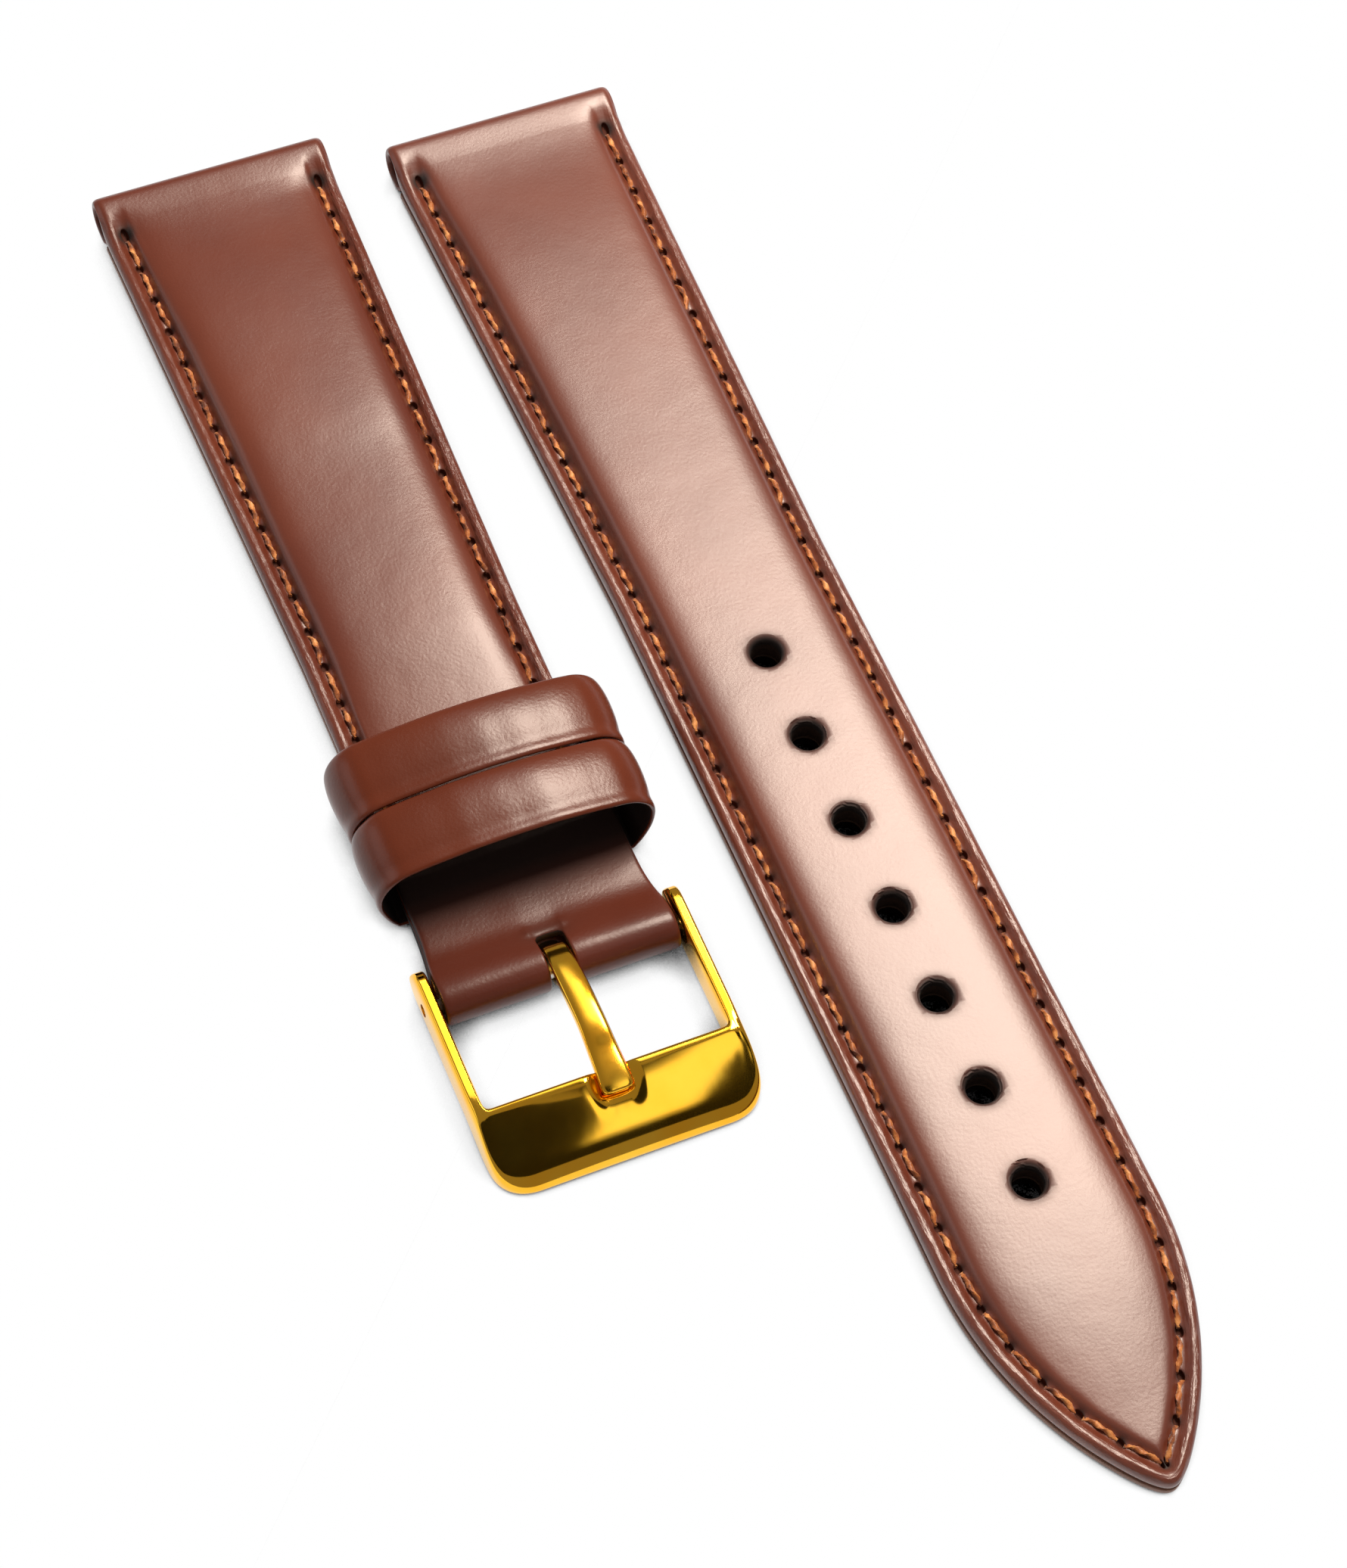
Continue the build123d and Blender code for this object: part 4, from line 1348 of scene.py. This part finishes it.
def frame_stations():
    """Inner place, outer place, underside and top for each row of the left half."""
    rows = []
    for angle in (8, 26, 46, 68, 90):
        turn = math.radians(angle)
        s = leg_rear + leg_half_height * (1 - math.cos(turn))
        half = leg_half_height * math.sin(turn)
        rows.append(((-leg_inner, s), (-leg_outer, s), bar_z - half, bar_z + half))
    for s in (72.6, 75.0, 77.6, 79.2):
        rows.append(((-leg_inner, s), (-leg_outer, s), leg_low, leg_top))
    inner = [(8.6, 79.8), (8.6, 80.08), (8.54, 80.26), (8.42, 80.36), (8.24, 80.4), (7.95, 80.4)]
    inner += [(7.5, 80.4), (6.9, 80.4)]
    outer = [(9.6, 80.3), (9.6, 81.7), (9.6, 83.1)]
    for angle in (18, 42, 66, 90):
        turn = math.radians(angle)
        x = leg_outer - corner_radius * (1 - math.cos(turn))
        outer.append((x, frame_front - corner_radius * (1 - math.sin(turn))))
    outer.append((6.5, frame_front))
    for number, ((x0, s0), (x1, s1)) in enumerate(zip(inner, outer)):
        low = leg_low + (bar_low - leg_low) * min(number / 3, 1)
        rows.append(((-x0, s0), (-x1, s1), low, None))
    for x in (5.6, 4.4, 3.3, 2.6, 2.1, 1.7, 1.3, 0.9, 0.45):
        rows.append(((-x, window_front), (-x, frame_front), bar_low, None))
    return rows


# %% Wrap the frame
across_bar = (0, 0.062, 0.112, 0.211, 0.351, 0.53, 0.709, 0.869, 1)
edge_round = 0.24
most_edge = 0.3             # of the section's height
nose_round = 0.34
foot_round = 0.16
most_foot = 0.25
waist_at = 0.4              # of the way up to the outer edge
just_below = -1e-9          # practically at the top
pin_hole_radius = 0.47
drill_length = 24


def frame_section(row):
    """Places of one closed section of the frame, from the middle of its underside round."""
    (x0, s0), (x1, s1), low, top = row
    breadth = math.hypot(x1 - x0, s1 - s0)
    tall = (top or leg_top) - low
    edge = min(edge_round, most_edge * tall)
    outer_edge = edge if top else nose_round
    foot = min(foot_round, most_foot * tall)

    def at(along, height):
        """A place at this distance from the inner edge. The height may be below the top."""
        share = along / breadth
        x, s = x0 + share * (x1 - x0), s0 + share * (s1 - s0)
        if height < 0:
            height += top or frame_top(x, s)
        return x, s, height

    places = [at(breadth / 2, low), at(foot, low), at(0, low + foot)]
    places += [at(0, low + tall / 2), at(0, -edge)]
    for share in across_bar:
        x, s, height = at(edge + share * (breadth - edge - outer_edge), just_below)
        places.append((x, s, height + leg_lean * (share - 0.5) * (top is not None and x < 0)))
    outer_top = top or frame_top(x1, s1)
    waist = low + waist_at * (outer_top - outer_edge - low + foot)
    places += [at(breadth, -outer_edge), at(breadth, waist)]
    places += [at(breadth, low + 0.8 * foot), at(breadth - foot, low), at(breadth / 2, low)]
    return places


def crossbar(radius, length, s, z):
    """A round bar across the strap."""
    deselect()
    bpy.ops.mesh.primitive_cylinder_add(
        vertices=48,
        radius=radius * mm,
        depth=length * mm,
        location=on_half(buckle_half, 0, s, z),
        rotation=(0, math.pi / 2, 0),
    )
    bar = named("crossbar")
    bpy.ops.object.transform_apply(location=True, rotation=True)
    return bar


def make_frame():
    left = frame_stations()
    right = [((-a, b), (-c, d), low, top) for (a, b), (c, d), low, top in reversed(left)]
    middle = ((0.0, window_front), (0.0, frame_front), bar_low, None)
    piece = grid_of("gilt_frame", [
        [on_half(buckle_half, *place) for place in frame_section(row)]
        for row in (*left, middle, *right)
    ])
    close_up(piece)
    subdivide(piece, 2)
    cut(piece, crossbar(pin_hole_radius, drill_length, bar_s, bar_z))
    piece.data.materials.append(gilt)
    print("frame faces", len(piece.data.polygons))
    return piece


gilt_frame = make_frame()

# %% [markdown]
# ## The tongue
# The tongue is one thick wire. Its end is curled round the spring bar, and from there it
# arches over the window and bends down onto the front bar. A rounded end face is extruded
# along that line, and each new end is set square to the line at its own width and thickness.

# %% Make the tongue
curl_radius = 1.12
curl_thickness = 0.56
ring_points = 20
ring_squareness = 0.42      # 1 is an oval, less is squarer
curl = (
    (45, 0.8), (20, 0.62), (-5, 0.52), (-32, 0.5), (-60, 0.5), (-95, 0.56), (-130, 0.74),
    (-165, 0.82), (-200, 0.84),
)
# forward from the bar's axis, height above it, thickness, half width
tongue_line = [
    (
        curl_radius * math.cos(math.radians(angle)),
        curl_radius * math.sin(math.radians(angle)),
        curl_thickness,
        half,
    )
    for angle, half in curl
]
tongue_line += [
    (-0.9, 0.98, 0.6, 0.82), (-0.4, 1.32, 0.62, 0.83), (0.2, 1.55, 0.66, 0.85),
    (0.9, 1.71, 0.74, 0.89), (1.9, 1.88, 0.86, 0.94), (3.0, 2.02, 0.95, 0.97),
    (4.3, 2.15, 0.97, 0.97), (5.4, 2.22, 0.97, 0.97), (6.1, 2.2, 0.97, 0.98),
    (6.9, 2.08, 0.96, 1.0), (7.7, 1.91, 0.92, 1.03), (8.4, 1.84, 0.88, 1.06),
    (9.0, 1.79, 0.84, 1.09), (9.7, 1.69, 0.79, 1.12), (10.45, 1.57, 0.72, 1.14),
    (10.85, 1.52, 0.56, 1.02),
]


def squared(value):
    """A sine or cosine pushed outwards, which squares a circle."""
    return math.copysign(abs(value) ** ring_squareness, value)


def tongue_ring(number):
    """A rounded section set square to the tongue's line at one station."""
    before = tongue_line[max(number - 1, 0)]
    after = tongue_line[min(number + 1, len(tongue_line) - 1)]
    run = math.hypot(after[0] - before[0], after[1] - before[1])
    ahead_up, high_up = -(after[1] - before[1]) / run, (after[0] - before[0]) / run
    ahead, high, thick, half = tongue_line[number]
    points = []
    for step in range(ring_points):
        angle = 2 * math.pi * step / ring_points
        x = half * squared(math.cos(angle))
        z = squared(math.sin(angle)) * thick / 2
        s = bar_s + ahead + z * ahead_up
        points.append(on_half(buckle_half, x, s, bar_z + high + z * high_up))
    return points


def make_tongue():
    deselect()
    bpy.ops.mesh.primitive_circle_add(vertices=ring_points, fill_type="NGON")
    tongue = named("gilt_tongue")
    for vertex, point in zip(tongue.data.vertices, tongue_ring(0)):
        vertex.co = point
    for number in range(1, len(tongue_line)):
        edit(tongue)
        if number == 1:
            bpy.ops.mesh.select_all(action="SELECT")
        bpy.ops.mesh.extrude_region_move(TRANSFORM_OT_translate={"value": (0, -1 * mm, 0)})
        leave_edit()
        end = [vertex for vertex in tongue.data.vertices if vertex.select]
        for vertex, point in zip(end, tongue_ring(number)):
            vertex.co = point
    close_up(tongue)
    subdivide(tongue, 2)
    tongue.data.materials.append(rubbed_gilt)
    print("tongue faces", len(tongue.data.polygons))
    return tongue


gilt_tongue = make_tongue()

# %% [markdown]
# ## Stage and light
# The strap was photographed on pure white with one large warm light above its far end. The
# floor is white to the camera and in reflections, except deep inside the holes and right
# under the edges, where painted shade worked out from how covered the floor is darkens it. A
# black card above the front end stands for the dark room behind the camera, which polished
# metal needs to look like metal.

# %% Stage
white = (1, 1, 1, 1)
floor_size = 6
floor_level = -0.0001
floor_reach = 3 * mm        # how far the floor looks round for what covers it
dark_below, white_above = 0.3, 0.6      # share of open air over the floor
card_steps = 16


def add_stage():
    deselect()
    bpy.ops.mesh.primitive_plane_add(size=floor_size, location=(0, 0, floor_level))
    floor = named("floor")
    material, tree, shader, _ = new_finish("floor")
    # painted shade: the floor darkens where it is covered, deep in the holes and under the edges
    open_air = add_node(tree, "AmbientOcclusion", {"Distance": floor_reach}, samples=8)["AO"]
    clear = {"Value": open_air, "From Min": dark_below, "From Max": white_above}
    clear = add_node(tree, "MapRange", clear)["Result"]
    pale = ramp(tree, clear, (0.0, (0.01, 0.01, 0.01)), (0.5, (0.86, 0.86, 0.86)))
    feed(tree, shader, {"Base Color": pale, "Roughness": 0.8})
    shining = add_node(tree, "Emission", {"Color": white, "Strength": clear})["Emission"]
    path = add_node(tree, "LightPath", {})
    seen = {0: path["Is Camera Ray"], 1: path["Is Glossy Ray"]}
    seen = add_node(tree, "Math", seen, operation="MAXIMUM")["Value"]
    mixed = {"Fac": seen, 1: shader.outputs["BSDF"], 2: shining}
    mixed = add_node(tree, "MixShader", mixed)["Shader"]
    feed(tree, tree.nodes["Material Output"], {"Surface": mixed})
    floor.data.materials.append(material)


def add_card(name, corners, glow=0.0, fade=1.0):
    """A card that only reflections see: black, or glowing like a bright wall. Its glow fades
    in over the given share of the card from each border."""
    corner, along, across = (Vector(place) for place in corners)
    along, across = along - corner, across - corner
    shares = [step / card_steps for step in range(card_steps + 1)]
    card = grid_of(name, [[corner + a * along + b * across for a in shares] for b in shares])

    def strength(vertex):
        b, a = (shares[number] for number in divmod(vertex.index, len(shares)))
        return glow * eased(min(a, 1 - a) / fade) * eased(min(b, 1 - b) / fade)

    paint(card, "glow", strength)
    material, tree, shader, _ = new_finish(name)
    glowing = add_node(tree, "Attribute", {}, attribute_name="glow")["Fac"]
    feed(tree, shader, {"Base Color": (0.01, 0.01, 0.01, 1), "Roughness": 0.9})
    feed(tree, shader, {"Emission Color": white, "Emission Strength": glowing})
    card.data.materials.append(material)
    card.visible_camera = False
    card.visible_diffuse = False
    card.visible_shadow = False


def level(low, high, height):
    """Three corners of a level rectangle: its first, and the ends of the two sides from it."""
    return (*low, height), (high[0], low[1], height), (low[0], high[1], height)


add_stage()
add_card("dark_card", level((-0.1, -0.42), (0.2, -0.04), 0.37))
add_card("front_glow", level((0.052, -0.33), (0.125, -0.01), 0.36), 1.35, 0.15)
add_card("side_glow", level((0.056, 0.03), (0.108, 0.48), 0.36), 1.9, 0.25)
add_card("left_glow", [(-0.3, 0.0, 0.03), (-0.3, 0.32, 0.03), (-0.3, 0.0, 0.25)], 1.1, 0.2)

# %% Lights
warm = (1, 0.85, 0.72)


def add_softbox(name, low, high, height, radiance):
    """A level area light from one corner to the other, as bright as it should look."""
    middle = ((low[0] + high[0]) / 2, (low[1] + high[1]) / 2, height)
    bpy.ops.object.light_add(type="AREA", location=middle)
    lamp = named(name).data
    lamp.shape = "RECTANGLE"
    lamp.size = high[0] - low[0]
    lamp.size_y = high[1] - low[1]
    lamp.energy = radiance * math.pi * lamp.size * lamp.size_y
    lamp.color = warm


def add_world():
    """A dim warm room, which the camera sees as white beyond the floor's horizon."""
    world = bpy.data.worlds.new("studio")
    bpy.context.scene.world = world
    world.use_nodes = True
    tree = world.node_tree
    room = tree.nodes["Background"]
    feed(tree, room, {"Color": (1, 0.9, 0.82, 1), "Strength": 0.27})
    beyond = add_node(tree, "Background", {"Color": white})["Background"]
    seen = add_node(tree, "LightPath", {})["Is Camera Ray"]
    mixed = {"Fac": seen, 1: room.outputs["Background"], 2: beyond}
    mixed = add_node(tree, "MixShader", mixed)["Shader"]
    feed(tree, tree.nodes["World Output"], {"Surface": mixed})


add_world()
add_softbox("key", (0.103, 0.028), (0.193, 0.226), 0.36, 38)
add_softbox("key_edge", (0.088, 0.15), (0.103, 0.31), 0.36, 20)
bpy.context.scene.view_settings.view_transform = "Standard"
print("stage and lights ready")

# %% [markdown]
# ## Handing over
# Each piece rides on the body that carries it, and the plain node that it stands for is hidden.

# %% Hand over
def dress(piece, body, node, finish=None):
    if finish:
        piece.data.materials.append(finish)
    only(piece)
    bpy.ops.object.shade_smooth_by_angle(angle=math.radians(smooth_below))
    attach(piece, body)
    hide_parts(node)


dress(tail_skin, "tail_strap", "tail_top_leather")
dress(tail_base, "tail_strap", "tail_lining")
dress(tail_thread, "tail_strap", "tail_needle_thread", thread)
dress(tail_under_thread, "tail_strap", "tail_bobbin_thread", thread)
dress(short_skin, "buckle_strap", "short_top_leather")
dress(short_base, "buckle_strap", "short_lining")
dress(short_thread, "buckle_strap", "short_needle_thread", thread)
dress(short_under_thread, "buckle_strap", "short_bobbin_thread", thread)
dress(tab, "buckle_strap", "buckle_tab")
dress(fixed_band, "buckle_strap", "fixed_keeper")
dress(free_band, "free_keeper", "free_keeper")
dress(gilt_frame, "buckle_frame", "buckle_frame")
dress(gilt_tongue, "buckle_tongue", "buckle_tongue")

import json
